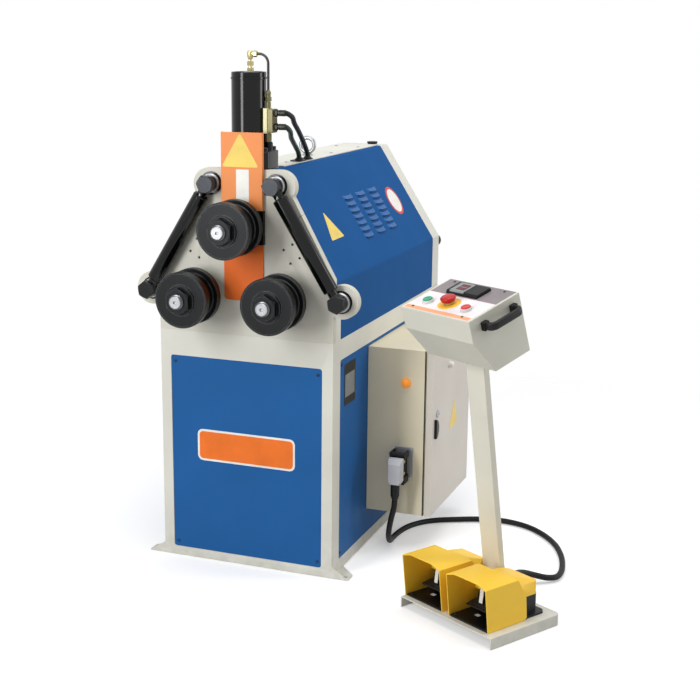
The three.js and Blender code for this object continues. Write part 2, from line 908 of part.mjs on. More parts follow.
// Hood sheet: upright side, fold, slope and inward lip, notched for the post's horn
function hoodSheet(side) {
  const corners = [...hoodCorners(0), [hood.topHalf - hood.lip, headBase + hood.topRise]];
  const profile = foldedSheet(corners, hood.sheet);
  const front = head.plate + clearance;
  const hornTop = cabinet.height + cabinet.hornRise + clearance;
  const notch = block(0, half + overrun, 0, cabinet.postSide + clearance, 0, hornTop);
  const sheet = cut(prismY(profile, front, hoodRear), notch);
  return side > 0 ? sheet : sheet.mirror([1, 0, 0]);
}

// Point on the slope: up from the fold and out from the sheet
function onSlope(up, out) {
  const fold = new THREE.Vector2(half, headBase + hood.foldRise);
  const along = new THREE.Vector2(hood.topHalf, headBase + hood.topRise).sub(fold).normalize();
  const point = fold.addScaledVector(along, up).add(new THREE.Vector2(along.y, -along.x).multiplyScalar(out));
  return [point.x, point.y];
}

// Pressed louvre: a raised lip over a slit, open towards the fold
function louvreTools(up, y0) {
  const { reach, height, skin, length } = louvre;
  const cover = outline([
    onSlope(up, -skin),
    onSlope(up, height),
    onSlope(up + reach, 0),
    onSlope(up + reach, -skin),
  ]);
  const room = outline([
    onSlope(up - skin, -hood.sheet - skin),
    onSlope(up - skin, height - skin),
    onSlope(up, height - skin),
    onSlope(up + reach - 2 * skin, -skin / 2),
    onSlope(up + reach - 2 * skin, -hood.sheet - skin),
  ]);
  return [prismY(cover, y0, y0 + length), prismY(room, y0 + skin, y0 + length - skin)];
}

function louvredHood() {
  let sheet = hoodSheet(1);
  for (let row = 0; row < louvre.rows; row++) {
    for (let column = 0; column < louvre.columns; column++) {
      const up = louvre.start + row * louvre.pitch;
      const [cover, room] = louvreTools(up, louvre.first + column * louvre.columnPitch);
      sheet = sheet.add(cover).subtract(room);
    }
  }
  return sheet;
}

// Rear cap: shallow pan with the hood's outline, open towards the hood
function hoodRearCap() {
  const front = hoodRear + clearance;
  const pan = prismY(outline(mirrored(hoodCorners(0))), front, cabinet.depth);
  const innerCorners = hoodCorners(rearCap.wall);
  innerCorners[0][1] += rearCap.wall;
  return cut(pan, prismY(outline(mirrored(innerCorners)), front - overrun, cabinet.depth - rearCap.wall));
}

function rearKnob() {
  const start = cabinet.depth + clearance;
  const profile = [
    [0, start],
    [knob.stem, start],
    [knob.stem, start + knob.stemLength],
    [knob.radius, start + knob.stemLength],
    [knob.radius, start + knob.length - knob.stem],
    [knob.radius - knob.stem / 2, start + knob.length],
    [0, start + knob.length],
  ];
  return turned(profile, half - knob.inset, headBase + knob.rise, sides.tube);
}

const hoodTop = headBase + hood.topRise;
const topCoverBase = hoodTop + clearance;
const topCoverTop = topCoverBase + topCover.sheet;

function breatherCap() {
  const { across, inset: fromRear, radius, topRadius, height } = breather;
  const seat = hoodTop + clearance;
  return discZ(across, cabinet.depth - fromRear, radius, seat, seat + height, sides.tube, topRadius);
}

// Lifting eye: ring on a collar
function liftingEye() {
  const seat = topCoverTop + clearance;
  const middle = seat + eye.collar + eye.ringRadius;
  const { across, back, ringRadius, wire, collarRadius, collarTopRadius } = eye;
  const ring = new THREE.TorusGeometry(ringRadius, wire, sides.small, sides.tube).rotateX(Math.PI / 2);
  const collar = discZ(across, back, collarRadius, seat, seat + eye.collar, sides.tube, collarTopRadius);
  return union(solid(ring.translate(across, back, middle)), collar);
}

function boltAt([x, z]) {
  const headRearFace = -bolt.headFront + bolt.head;
  return union(
    hexagonY(x, z, bolt.flats, -bolt.headFront, headRearFace),
    discY(x, z, bolt.radius, headRearFace, head.plate, sides.bore),
    discY(x, z, bolt.washerRadius, -clearance - bolt.washer, -clearance, sides.bore),
  );
}

// Tie bar: round bar with flat ends, drawn down to an eye at each bolt
function tieBarOn(side) {
  const ends = [lowerPinAt(side), upperPinAt(side)].map(([x, z]) => new THREE.Vector3(x, -tieBar.plane, z));
  const along = ends[1].clone().sub(ends[0]);
  const length = along.length();
  const turn = new THREE.Quaternion().setFromUnitVectors(new THREE.Vector3(0, 1, 0), along.normalize());
  const bar = (radius, long, count) => {
    const geometry = new THREE.CylinderGeometry(radius, radius, long, count).applyQuaternion(turn);
    const middle = ends[0].clone().add(ends[1]).multiplyScalar(0.5);
    return solid(geometry.translate(middle.x, middle.y, middle.z));
  };
  const eyeFront = -bolt.headFront + bolt.head + clearance;
  const eyeRear = eyeFront + bolt.eye;
  const eyes = ends.map((end) => discY(end.x, end.z, tieBar.eyeRadius, eyeFront, eyeRear, sides.bore));
  const spaces = ends.map((end) => {
    const room = tieBar.eyeRadius + clearance;
    return union(
      discY(end.x, end.z, room, -bolt.headFront - overrun, eyeFront, sides.tube),
      discY(end.x, end.z, room, eyeRear, overrun, sides.tube),
      discY(end.x, end.z, bolt.radius + running, -bolt.headFront, overrun, sides.bore),
    );
  });
  const whole = bar(tieBar.radius, length - 2 * tieBar.endInset, sides.shaft);
  const body = union(whole, bar(tieBar.neckRadius, length, sides.pin), ...eyes);
  return cut(body, ...spaces);
}

// Gearmotor on the rear of the inner plate
function driveGearmotor() {
  const front = headRear + clearance;
  const rear = front + gearmotor.depth;
  const motorFront = rear + gearmotor.flange;
  const axis = headBase + gearmotor.rise;
  return union(
    block(-gearmotor.half, gearmotor.half, front, rear, headBase, headBase + gearmotor.height),
    discY(0, axis, gearmotor.flangeRadius, rear, motorFront, sides.bore),
    discY(0, axis, gearmotor.motorRadius, motorFront, motorFront + gearmotor.motor, sides.bore),
  );
}

// Power pack: oil tank with a lid, and the pump motor lying on a seat
function hydraulicPowerPack() {
  const floor = cabinet.floorRise + cabinet.floorSheet + clearance;
  const { half: wide, front, depth, height, lid, lidReach, seat } = powerPack;
  const lidTop = floor + height + lid;
  const motorFront = front + (depth - powerPack.motor) / 2;
  const axis = lidTop + seat + powerPack.motorRadius;
  const motorRear = motorFront + powerPack.motor;
  const { motorRadius } = powerPack;
  const tankHalf = wide - lidReach;
  return union(
    block(-tankHalf, tankHalf, front + lidReach, front + depth - lidReach, floor, floor + height),
    block(-wide, wide, front, front + depth, floor + height, lidTop),
    block(-motorRadius, motorRadius, motorFront, motorRear, lidTop, axis),
    discY(0, axis, motorRadius, motorFront, motorRear, sides.bore),
  );
}

// Electric enclosure: open box with an inward rim, against the right side panel
const enclosureInner = half - panelRecess + clearance;
const enclosureOuter = enclosureInner + enclosure.reach;
const enclosureRear = enclosure.front + enclosure.depth;
const enclosureTop = cabinet.height - enclosure.drop;
const enclosureBlock = (x0, x1, by) =>
  block(x0, x1, enclosure.front + by, enclosureRear - by, enclosure.bottom + by, enclosureTop - by);

function enclosureBody() {
  const { wall, rim } = enclosure;
  return cut(
    enclosureBlock(enclosureInner, enclosureOuter, 0),
    enclosureBlock(enclosureInner + wall, enclosureOuter - wall, wall),
    enclosureBlock(enclosureOuter - wall - overrun, enclosureOuter + overrun, rim),
  );
}

// Door: pan with a seal against the rim, and a half-moon pull near its free edge
const doorInner = enclosureOuter + door.seam;
const doorOuter = doorInner + door.thick;
const doorPlace = (fitting) => [enclosure.front + fitting.inset, enclosure.bottom + fitting.rise];
function enclosureDoor() {
  const pan = cut(
    enclosureBlock(doorInner, doorOuter, 0),
    enclosureBlock(doorInner - overrun, doorOuter - door.skin, door.border),
  );
  const sealStart = enclosureOuter + running;
  const seal = cut(
    enclosureBlock(sealStart, doorInner + door.skin, door.sealInset),
    enclosureBlock(sealStart - overrun, doorOuter, door.sealInset + door.seal),
  );
  const [pullY, pullZ] = doorPlace(pull);
  const moon = new THREE.Shape();
  moon.absarc(pullY, pullZ, pull.radius, Math.PI / 2, 1.5 * Math.PI);
  const [lockY, lockZ] = doorPlace(lock);
  const lockHole = discX(lockY, lockZ, lock.radius + running, doorInner, doorOuter + overrun, sides.tube);
  return cut(union(pan, seal, prismX(moon, doorOuter - door.skin, doorOuter + pull.thick)), lockHole);
}

// Quarter-turn lock: head outside the door, cam inside it
function quarterTurnLock() {
  const [y, z] = doorPlace(lock);
  const { cam, camHalf, slit } = lock;
  const headStart = doorOuter + clearance;
  const headEnd = headStart + lock.head;
  const slitStart = headStart + lock.head / 2;
  const camEnd = doorOuter - door.skin - clearance;
  const camStart = camEnd - lock.camSheet;
  return union(
    cut(
      discX(y, z, lock.headRadius, headStart, headEnd, sides.tube),
      block(slitStart, headEnd + lock.head, y - cam, y + cam, z - slit, z + slit),
    ),
    discX(y, z, lock.radius, camStart, slitStart, sides.tube),
    block(camStart, camEnd, y - cam, y + camHalf, z - camHalf, z + camHalf),
  );
}

// Pilot lamp with a domed lens on the enclosure's front
function pilotLamp() {
  const seat = enclosure.front - clearance;
  const x = enclosureInner + lamp.reach;
  const dome = Array.from({ length: 4 }, (_, i) => {
    const angle = ((i + 1) * Math.PI) / 8;
    return [lamp.radius * (lensShares.dome * Math.cos(angle) + lensShares.tip), Math.sin(angle)];
  });
  const profile = [
    [0, seat],
    [lamp.radius, seat],
    [lamp.radius, seat - lamp.collar],
    ...dome.map(([radius, share]) => [radius, seat - lamp.collar - (lamp.length - lamp.collar) * share]),
    [0, seat - lamp.length],
  ];
  return turned(profile, x, enclosureTop - lamp.drop, sides.tube);
}

// Socket housing with its base plate and the two latch levers over the plug
const socketX = enclosureInner + socket.reach;
const socketZ = enclosure.bottom + socket.rise;
const socketSeat = enclosure.front - clearance;
const socketFace = socketSeat - socket.sheet - socket.body;
function socketHousing() {
  const { half: wide, halfHeight, bodyHalf, bodyHalfHeight, leverHalf, leverDepth } = socket;
  const plateFront = socketSeat - socket.sheet;
  const across = (halfX, y0, y1, ...edges) => {
    const levels = edges.sort((a, b) => a - b);
    return block(socketX - halfX, socketX + halfX, y0, y1, ...levels);
  };
  const lever = (side) => {
    const start = socketZ + side * (bodyHalfHeight + clearance);
    const bar = across(leverHalf, socketFace - leverDepth, plateFront, start, start + side * socket.lever);
    return union(bar, across(leverHalf, socketFace, plateFront, socketZ, start));
  };
  return union(
    across(wide, plateFront, socketSeat, socketZ - halfHeight, socketZ + halfHeight),
    across(bodyHalf, socketFace, plateFront, socketZ - bodyHalfHeight, socketZ + bodyHalfHeight),
    lever(-1),
    lever(1),
  );
}

// Plug: hood with a chamfered top and a tapered bottom, and a rubber sleeve for the cable
function cablePlug() {
  const rear = socketFace - clearance;
  const front = rear - plug.length;
  const top = socketZ + plug.height / 2;
  const bottom = socketZ - plug.height / 2;
  const sleeveY = front + plug.sleeveBack;
  const side = outline([
    [rear, bottom],
    [rear, top],
    [front + plug.chamfer, top],
    [front, top - plug.chamfer],
    [front, bottom + plug.chamfer],
    [front + plug.chamfer, bottom],
  ]);
  const face = outline([
    [socketX - plug.half + plug.taper / 2, bottom],
    [socketX + plug.half - plug.taper / 2, bottom],
    [socketX + plug.half, bottom + plug.taperHeight],
    [socketX + plug.half, top],
    [socketX - plug.half, top],
    [socketX - plug.half, bottom + plug.taperHeight],
  ]);
  const body = prismX(side, socketX - plug.half, socketX + plug.half).intersect(prismY(face, front, rear));
  const { sleeve, sleeveRadius, taper } = plug;
  return union(body, discZ(socketX, sleeveY, sleeveRadius, bottom - sleeve, bottom + taper, sides.tube));
}

// Pedestal base: channel with side flanges bent down to the floor and round rear corners
function pedestalBase() {
  const { centre, width, depth, height, sheet, cornerRadius: radius } = base;
  const u0 = centre - width / 2;
  const u1 = centre + width / 2;
  const channel = cut(
    block(u0, u1, 0, depth, 0, height),
    block(u0 + sheet, u1 - sheet, -overrun, depth + overrun, -overrun, height - sheet),
  );
  const plan = roundedOutline(u0, u1, -2 * radius, depth, radius);
  return channel.intersect(prismZ(plan, -overrun, height + overrun));
}

const lean = THREE.MathUtils.degToRad(post.lean);
const tilt = THREE.MathUtils.degToRad(box.tilt);

// Post: leaning bar cut to the underside of the control box, with the cable gland at its back
function pedestalPost() {
  const foot = base.height + clearance;
  const u0 = post.centre - post.width / 2;
  const backAt = (z, offset) => post.front + offset - (z - base.height) * Math.tan(lean);
  const soleAt = (v) => {
    const corner = boxPoint(box.depth, box.height + clearance);
    return corner[1] + (v - corner[0]) * Math.tan(tilt);
  };
  const meet = (offset) => {
    const slope = Math.tan(lean);
    const rise = Math.tan(tilt);
    const level = soleAt(0);
    const z = (level + rise * (post.front + offset + base.height * slope)) / (1 + rise * slope);
    return [backAt(z, offset), z];
  };
  const rearOffset = post.thick / Math.cos(lean);
  const shape = outline([
    [backAt(foot, 0), foot],
    [backAt(foot, rearOffset), foot],
    meet(rearOffset),
    meet(0),
  ]);
  const glandZ = base.height + gland.rise;
  const glandStart = backAt(glandZ, rearOffset);
  return union(
    prismX(shape, u0, u0 + post.width),
    discY(post.centre, glandZ, gland.radius, glandStart - post.thick / 2, glandStart + gland.length, 6),
  );
}

// Place in the pedestal's depth and height of a point along and below the sloped panel
function boxPoint(along, below) {
  return [
    box.front + along * Math.cos(tilt) + below * Math.sin(tilt),
    box.topRise + along * Math.sin(tilt) - below * Math.cos(tilt),
  ];
}

// Display housing on the panel, with its front edge broken
function displayHousing() {
  const { centre, half: wide, front, depth, height, chamfer } = display;
  const side = outline([
    [front, -overrun],
    [front, height - chamfer],
    [front + chamfer, height],
    [front + depth, height],
    [front + depth, -overrun],
  ]);
  return prismX(side, centre - wide, centre + wide);
}

// Control box in its panel's frame: X across, Y up the slope, Z out of the panel
function controlBox() {
  const { width, depth, height, faceHeight, sole } = box;
  const side = outline([[0, 0], [depth, 0], [depth, -height], [depth - sole, -height], [0, -faceHeight]]);
  const shell = prismX(side, -width / 2, width / 2);
  const bezel = ({ across, front }) =>
    discZ(across, front, button.bezelRadius, -overrun, button.bezel, sides.tube);
  const capFloor = button.bezel - button.cap - button.travel;
  const stemFloor = -button.stem - button.travel - clearance;
  const well = ({ across, front }) =>
    union(
      discZ(across, front, button.capRadius + running, capFloor, button.bezel + overrun, sides.tube),
      discZ(across, front, button.stemRadius + running, stemFloor, button.bezel, sides.pin),
    );
  const collar = union(
    discZ(emergency.across, emergency.front, emergency.ringRadius, -overrun, emergency.ring, sides.shaft),
    discZ(emergency.across, emergency.front, emergency.collarRadius, -overrun, emergency.collar, sides.tube),
  );
  const shaftWell = discZ(
    emergency.across,
    emergency.front,
    emergency.stemRadius + running,
    -emergency.stem - emergency.travel - clearance,
    emergency.collar + overrun,
    sides.tube,
  );
  const whole = union(shell, displayHousing(), bezel(startButton), bezel(stopButton), collar);
  return cut(whole, well(startButton), well(stopButton), shaftWell);
}

function pushButton({ across, front }) {
  const top = button.bezel + button.cap;
  return union(
    discZ(across, front, button.capRadius, button.bezel - button.cap + clearance, top, sides.tube),
    discZ(across, front, button.stemRadius, -button.stem, button.bezel, sides.pin),
  );
}

// Mushroom head that stands off its collar by its travel
function emergencyStop() {
  const { across, front, collar, travel, neckRadius, headRadius } = emergency;
  const start = collar + travel + clearance;
  const [low, high, top] = [1, 2, 3].map((third) => start + (third * emergency.head) / 3);
  return union(
    discZ(across, front, neckRadius, start, low, sides.shaft, headRadius),
    discZ(across, front, headRadius, low, high, sides.shaft),
    discZ(across, front, headRadius, high, top, sides.shaft, neckRadius),
    discZ(across, front, emergency.stemRadius, -emergency.stem, low, sides.tube),
  );
}

// Bridge handle on the right side of the control box
function grabHandle() {
  const wall = box.width / 2 + clearance;
  const outer = wall + handle.standOff;
  const rear = handle.front + handle.pitch;
  const { bend, drop, radius, upRadius, footHalf, footUp } = handle;
  const corner = (y, direction, angle) => [
    outer - bend + bend * Math.sin(angle),
    y + direction * (bend - bend * Math.cos(angle)),
    -drop,
  ];
  const angles = [0, 1, 2, 3].map((i) => (i * Math.PI) / 6);
  const route = [
    [wall, handle.front, -drop],
    ...angles.map((angle) => corner(handle.front, 1, angle)),
    ...[...angles].reverse().map((angle) => corner(rear, -1, angle)),
    [wall, rear, -drop],
  ];
  const footEnd = wall + handle.foot;
  const footAt = (y) => block(wall, footEnd, y - footHalf, y + footHalf, -drop - footUp, -drop + footUp);
  return union(tube(route, radius, sides.pin, handle.steps, upRadius), footAt(handle.front), footAt(rear));
}

// Pedal guard in the pedal's frame: open hood in front and the cover of the switch behind
const pedalFloor = base.height + clearance;
const along = (shares, front, depth, bottom, height) =>
  scaled(shares, depth, height).map(([a, b]) => [front + a, bottom + b]);
function pedalGuard(side) {
  const wide = guard.width / 2;
  const { sheet, depth, height } = guard;
  const top = pedalFloor + height;
  const face = (by, bottom) => {
    const reach = wide - by;
    const peak = top - by;
    return outline(
      mirrored([[reach, bottom], [reach, peak - guard.chamferDrop], [reach - guard.chamfer, peak]]),
    );
  };
  const profile = outline(along(guardOutlineShares, 0, depth, pedalFloor, height));
  const lowered = outline([
    [-overrun, -overrun],
    [-overrun, top - sheet],
    [0, top - sheet],
    [guard.roomDepth, top - sheet - (1 - guardOutlineShares[2][1]) * height],
    [guard.roomDepth, pedalFloor + housing.bottom],
    [depth - sheet - guard.chamferDrop, pedalFloor + housing.bottom],
    [depth - sheet - guard.chamferDrop, -overrun],
  ]);
  const rearEnd = depth + overrun;
  const outside = prismX(profile, -wide, wide).intersect(prismY(face(0, pedalFloor), -overrun, rearEnd));
  const inside = prismX(lowered, -wide, wide).intersect(prismY(face(sheet, -overrun), -2 * overrun, rearEnd));
  const coverBase = pedalFloor + housing.bottom;
  const passage = (width, top) => {
    const reach = width / 2 + running;
    return block(-reach, reach, guard.roomDepth, rearEnd, 0, top);
  };
  const rearWall = passage(switchBody.width, coverBase);
  const rearFoot = passage(switchBody.baseWidth, pedalFloor + switchBody.base + running);
  const cover = outline(along(housingOutlineShares, housing.front, housing.depth, coverBase, housing.height));
  const coverHalf = housing.width / 2;
  const coverTop = coverBase + housing.height;
  const coverFace = outline(
    mirrored([
      [coverHalf, 0],
      [coverHalf, coverTop - housing.chamfer],
      [coverHalf - housing.chamfer, coverTop],
    ]),
  );
  const rear = prismX(cover, -coverHalf, coverHalf)
    .intersect(prismY(coverFace, 0, housing.front + housing.depth + overrun))
    .intersect(prismZ(taperedPlan(coverHalf, 0, housing.front + housing.depth, side), 0, coverTop));
  return cut(union(outside, rear), inside, rearWall, rearFoot);
}

// Plan of the rear housing and the switch body, drawn in on the side of the post
function taperedPlan(wide, front, rear, side) {
  const tail = wide - (rear - housing.taperStart) * housing.taperShare;
  const { corner, taperStart } = housing;
  return outline([
    [side * wide, front],
    [side * wide, rear - corner],
    [side * (wide - corner), rear],
    [-side * tail, rear],
    [-side * wide, taperStart],
    [-side * wide, front],
  ]);
}

// Switch body on its base plate, with the bearing lugs of the pedal
function pedalSwitch(side) {
  const { width, front, depth, base: thick, baseFront, baseDepth, baseWidth } = switchBody;
  const plateTop = pedalFloor + thick;
  const pivotZ = pedalFloor + tread.pivotRise;
  const bodyTop = pedalFloor + housing.bottom - clearance;
  const { baseCorner, waistHalf, waistBack, tailHalf } = switchBody;
  const baseHalf = baseWidth / 2;
  const baseRear = baseFront + baseDepth;
  const plate = outline([
    [side * baseHalf, baseFront],
    [side * baseHalf, baseRear - baseCorner],
    [side * (baseHalf - baseCorner), baseRear],
    [-side * tailHalf, baseRear],
    [-side * waistHalf, waistBack],
    [-side * baseHalf, housing.taperStart],
    [-side * baseHalf, baseFront],
  ]);
  const lug = (end) => {
    const inner = tread.width / 2 + running;
    const edges = [end * inner, end * (inner + tread.cheek)].sort((a, b) => a - b);
    const lugFront = tread.pivotBack - tread.lugReach;
    return block(...edges, lugFront, front + tread.cheek, plateTop, pivotZ + tread.lugReach);
  };
  const pivotHole = discX(tread.pivotBack, pivotZ, tread.pivotRadius + running, -width, width, sides.pin);
  return cut(
    union(
      prismZ(plate, pedalFloor, plateTop),
      prismZ(taperedPlan(width / 2, front, front + depth, side), pedalFloor, bodyTop),
      lug(-1),
      lug(1),
    ),
    pivotHole.intersect(block(-width, width, 0, front, 0, bodyTop)),
  );
}

// Tilting pedal: tread sloping down to the front, pivot pin and the toe lever that stands on the tread
function tiltingPedal() {
  const z = pedalFloor + tread.pivotRise;
  const slope = THREE.MathUtils.degToRad(tread.slope);
  const { pivotBack, length, thick, width, pivotRadius } = tread;
  const frontAt = [pivotBack - length * Math.cos(slope), z - length * Math.sin(slope)];
  const shape = outline([
    frontAt,
    [pivotBack, z - thick / 2],
    [pivotBack + thick / 2, z - thick / 2],
    [pivotBack + thick / 2, z + thick],
    [pivotBack, z + thick],
    [frontAt[0], frontAt[1] + thick],
  ]);
  const leverFoot = z - thick / 2;
  const leverTop = z + toeLever.height;
  const { front, lean: leverLean } = toeLever;
  const lever = outline([
    [front, leverFoot],
    [front + toeLever.thick, leverFoot],
    [front + toeLever.thick + leverLean, leverTop],
    [front + leverLean, leverTop],
  ]);
  const pin = discX(pivotBack, z, pivotRadius, -width / 2 - tread.cheek, width / 2 + tread.cheek, sides.pin);
  const { across, half: wide } = toeLever;
  return union(prismX(shape, -width / 2, width / 2), prismX(lever, across - wide, across + wide), pin);
}

// Scene: the machine with its enclosure and cable
const finish = {
  cream: paint(colours.cream, 0.5, 0.1),
  blue: paint(colours.blue, 0.45, 0.1),
  orange: paint(colours.orange, 0.45, 0.1),
  yellow: paint(colours.yellow, 0.45, 0.05),
  black: paint(colours.black, 0.5, 0.4),
  gloss: paint(colours.glossBlack, 0.2, 0.3),
  steel: paint(colours.steel, 0.3, 0.9),
  brass: paint(colours.brass, 0.35, 0.8),
  green: paint(colours.green, 0.35, 0),
  red: paint(colours.red, 0.35, 0),
  grey: paint(colours.grey, 0.5, 0.2),
  rubber: paint(colours.rubber, 0.7, 0),
};

const machine = new THREE.Group();
machine.position.y = -foot.leg / 2;
machine.add(
  piece("cabinet_frame", cabinetFrame(), finish.cream),
  piece("front_panel", acrossPanel(panelRecess), finish.blue),
  piece("rear_panel", acrossPanel(cabinet.depth - panelRecess - panel.sheet), finish.blue),
  piece("right_panel", sidePanel(half - panelRecess - panel.sheet), finish.blue),
  piece("left_panel", sidePanel(-half + panelRecess), finish.blue),
  piece("head_housing", headHousing(), finish.cream),
  piece("hood_right", louvredHood(), finish.blue),
  piece("hood_left", hoodSheet(-1), finish.blue),
  piece(
    "top_cover",
    block(-topCover.half, topCover.half, headRear + clearance, hoodRear, topCoverBase, topCoverTop),
    finish.cream,
  ),
  piece("rear_cap", hoodRearCap(), finish.cream),
  piece("rear_knob", rearKnob(), finish.black),
  piece("breather_cap", breatherCap(), finish.black),
  piece(
    "hose_inlet",
    block(
      inlet.across - inlet.half,
      inlet.across + inlet.half,
      inlet.front,
      inlet.front + inlet.depth,
      topCoverTop + clearance,
      topCoverTop + clearance + inlet.height,
    ),
    finish.black,
  ),
  piece("lifting_eye", liftingEye(), finish.steel),
  piece("ram", ramBlock(), finish.black),
  piece("ram_cover_upper", coverAbove(), finish.orange),
  piece("ram_cover_lower", coverBelow(), finish.orange),
  piece("piston_rod", pistonRod(), finish.steel),
  piece("cylinder", hydraulicCylinder(), finish.gloss),
  piece("pressure_pipe", pressurePipe(), finish.brass),
  piece("valve_block", valveBlock(), finish.brass),
  piece("hose_upper", tube(aboveHead(upperHoseRoute), hose.radius, hose.sides, hose.steps), finish.rubber),
  piece("hose_lower", tube(aboveHead(lowerHoseRoute), hose.radius, hose.sides, hose.steps), finish.rubber),
  piece("gearmotor", driveGearmotor(), finish.grey),
  piece("power_pack", hydraulicPowerPack(), finish.grey),
  piece("electric_box", enclosureBody(), finish.cream),
  piece("electric_door", enclosureDoor(), finish.cream),
  piece("door_lock", quarterTurnLock(), finish.steel),
  piece("pilot_lamp", pilotLamp(), finish.orange),
  piece("socket_housing", socketHousing(), finish.black),
  piece("cable_plug", cablePlug(), finish.grey),
  piece("cable", tube(cableRoute, cable.radius, cable.sides, cable.steps), finish.rubber),
);

// Three roll stations: name, place and where the shaft's shoulder and journal end
const stations = [
  ["top", 0, upperAxis, -ram.flangeFront - running, headRear - head.plate - running - shaft.rearGap],
  ["left", -roll.lowerAcross, lowerAxis, -running, headRear - shaft.rearGap],
  ["right", roll.lowerAcross, lowerAxis, -running, headRear - shaft.rearGap],
];
for (const [name, x, z, shoulderEnd, rear] of stations) {
  machine.add(
    piece(`${name}_shaft`, rollShaft(x, z, shoulderEnd, rear), finish.steel),
    piece(`${name}_roll`, bendingRoll(x, z), finish.black),
    piece(`${name}_nut`, clampingNut(x, z), finish.black),
  );
}

// Tie bars with a bolt at each end
for (const [name, side] of [["left", -1], ["right", 1]]) {
  machine.add(
    piece(`${name}_tie_bar`, tieBarOn(side), finish.gloss),
    piece(`${name}_lower_bolt`, boltAt(lowerPinAt(side)), finish.black),
    piece(`${name}_upper_bolt`, boltAt(upperPinAt(side)), finish.black),
  );
}

// Pedestal with its control box, buttons and pedals
const stand = new THREE.Group();
stand.position.set(pedestal.across, pedestal.back, 0);
stand.rotation.z = THREE.MathUtils.degToRad(pedestal.turn);
stand.add(
  piece("pedestal_base", pedestalBase(), finish.cream),
  piece("pedestal_post", pedestalPost(), finish.cream),
);

const controls = new THREE.Group();
controls.position.set(box.centre, box.front, box.topRise);
controls.rotation.x = tilt;
controls.add(
  piece("control_box", controlBox(), finish.cream),
  piece("grab_handle", grabHandle(), finish.black),
  piece("start_button", pushButton(startButton), finish.green),
  piece("stop_button", pushButton(stopButton), finish.red),
  piece("emergency_stop", emergencyStop(), finish.red),
);
stand.add(controls);

for (const [name, side] of [["left", -1], ["right", 1]]) {
  const unit = new THREE.Group();
  unit.position.x = pedal.centre + (side * pedal.pitch) / 2;
  unit.add(
    piece(`${name}_pedal_guard`, pedalGuard(side), finish.yellow),
    piece(`${name}_pedal_switch`, pedalSwitch(side), finish.black),
    piece(`${name}_pedal`, tiltingPedal(), finish.black),
  );
  stand.add(unit);
}
machine.add(stand);

const bender = new THREE.Group();
bender.add(machine);
export default bender;
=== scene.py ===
from math import cos, pi, radians, sin, sqrt, tan

import bmesh
import bpy
from mathutils import Matrix, Vector


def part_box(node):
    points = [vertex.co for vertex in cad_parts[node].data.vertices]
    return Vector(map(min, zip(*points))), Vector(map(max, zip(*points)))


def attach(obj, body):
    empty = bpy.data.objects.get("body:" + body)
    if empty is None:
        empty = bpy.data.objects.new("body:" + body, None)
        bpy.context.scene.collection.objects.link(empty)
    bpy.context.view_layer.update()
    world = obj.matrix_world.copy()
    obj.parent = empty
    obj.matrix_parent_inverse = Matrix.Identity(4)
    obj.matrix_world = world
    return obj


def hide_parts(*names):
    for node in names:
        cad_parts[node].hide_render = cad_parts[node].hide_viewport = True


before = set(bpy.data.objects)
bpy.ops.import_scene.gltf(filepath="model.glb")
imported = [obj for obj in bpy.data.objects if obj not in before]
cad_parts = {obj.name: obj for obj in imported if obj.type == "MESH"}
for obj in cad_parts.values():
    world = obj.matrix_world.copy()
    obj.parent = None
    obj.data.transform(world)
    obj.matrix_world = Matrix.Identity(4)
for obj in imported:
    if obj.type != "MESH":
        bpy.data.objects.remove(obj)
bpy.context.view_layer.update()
scene = bpy.context.scene
scene.view_settings.view_transform = "Standard"

# Places in millimetres: the machine, the pedestal that stands turned beside it, and its sloped panel
MM = 0.001
ORIGIN_DEPTH = 20
PEDESTAL, PEDESTAL_TURN = (655.5, -195.7, 0), -30.26
PANEL_FOOT, PANEL_SLOPE = (-15, -52.9, 839.6), 17.5
MACHINE = Matrix.Scale(MM, 4) @ Matrix.Translation((0, -ORIGIN_DEPTH, 0))
STAND = MACHINE @ Matrix.Translation(PEDESTAL) @ Matrix.Rotation(radians(PEDESTAL_TURN), 4, "Z")
PANEL = STAND @ Matrix.Translation(PANEL_FOOT) @ Matrix.Rotation(radians(PANEL_SLOPE), 4, "X")


def span(node):
    """A node's lowest and highest corner in the machine's millimetres."""
    return [[round(v, 2) for v in MACHINE.inverted() @ Vector(corner)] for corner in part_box(node)]


def middle(node, axis):
    low, high = span(node)
    return round((low[axis] + high[axis]) / 2, 2)


X, Y, Z = range(3)
HALF = span("hood_right")[1][X]
HEAD_BASE, HEAD_TOP = (corner[Z] for corner in span("head_housing"))
HEAD_HEIGHT = HEAD_TOP - HEAD_BASE
HOOD_TOP = span("hood_right")[1][Z]
COVER_TOP = span("top_cover")[1][Z]
SIDES = {"left": -1, "right": 1}

# Small measures: between parts, under a sticker, at a solid's own axis, and where points count as one
GAP, STICKER, TIP, WELD = 0.3, 0.05, 0.01, 0.001
CAD_WELD, COPLANAR = 1e-6, radians(0.6)

# Camera, fitted to the photograph
PHOTO_PIXELS = 700
FOCAL_PIXELS = 1362.1
AZIMUTH, ELEVATION = radians(22.66), radians(13.06)
camera = bpy.data.objects.new("camera", bpy.data.cameras.new("camera"))
scene.collection.objects.link(camera)
to_eye = Vector((sin(AZIMUTH) * cos(ELEVATION), -cos(AZIMUTH) * cos(ELEVATION), sin(ELEVATION)))
camera.location = (1.5427, -3.4139, 1.5120)
camera.rotation_euler = (-to_eye).to_track_quat("-Z", "Y").to_euler()
camera.data.sensor_width = 36
camera.data.lens = FOCAL_PIXELS / PHOTO_PIXELS * camera.data.sensor_width
camera.data.shift_x = 0.0913
camera.data.shift_y = -0.002
camera.data.clip_end = 60
scene.camera = camera


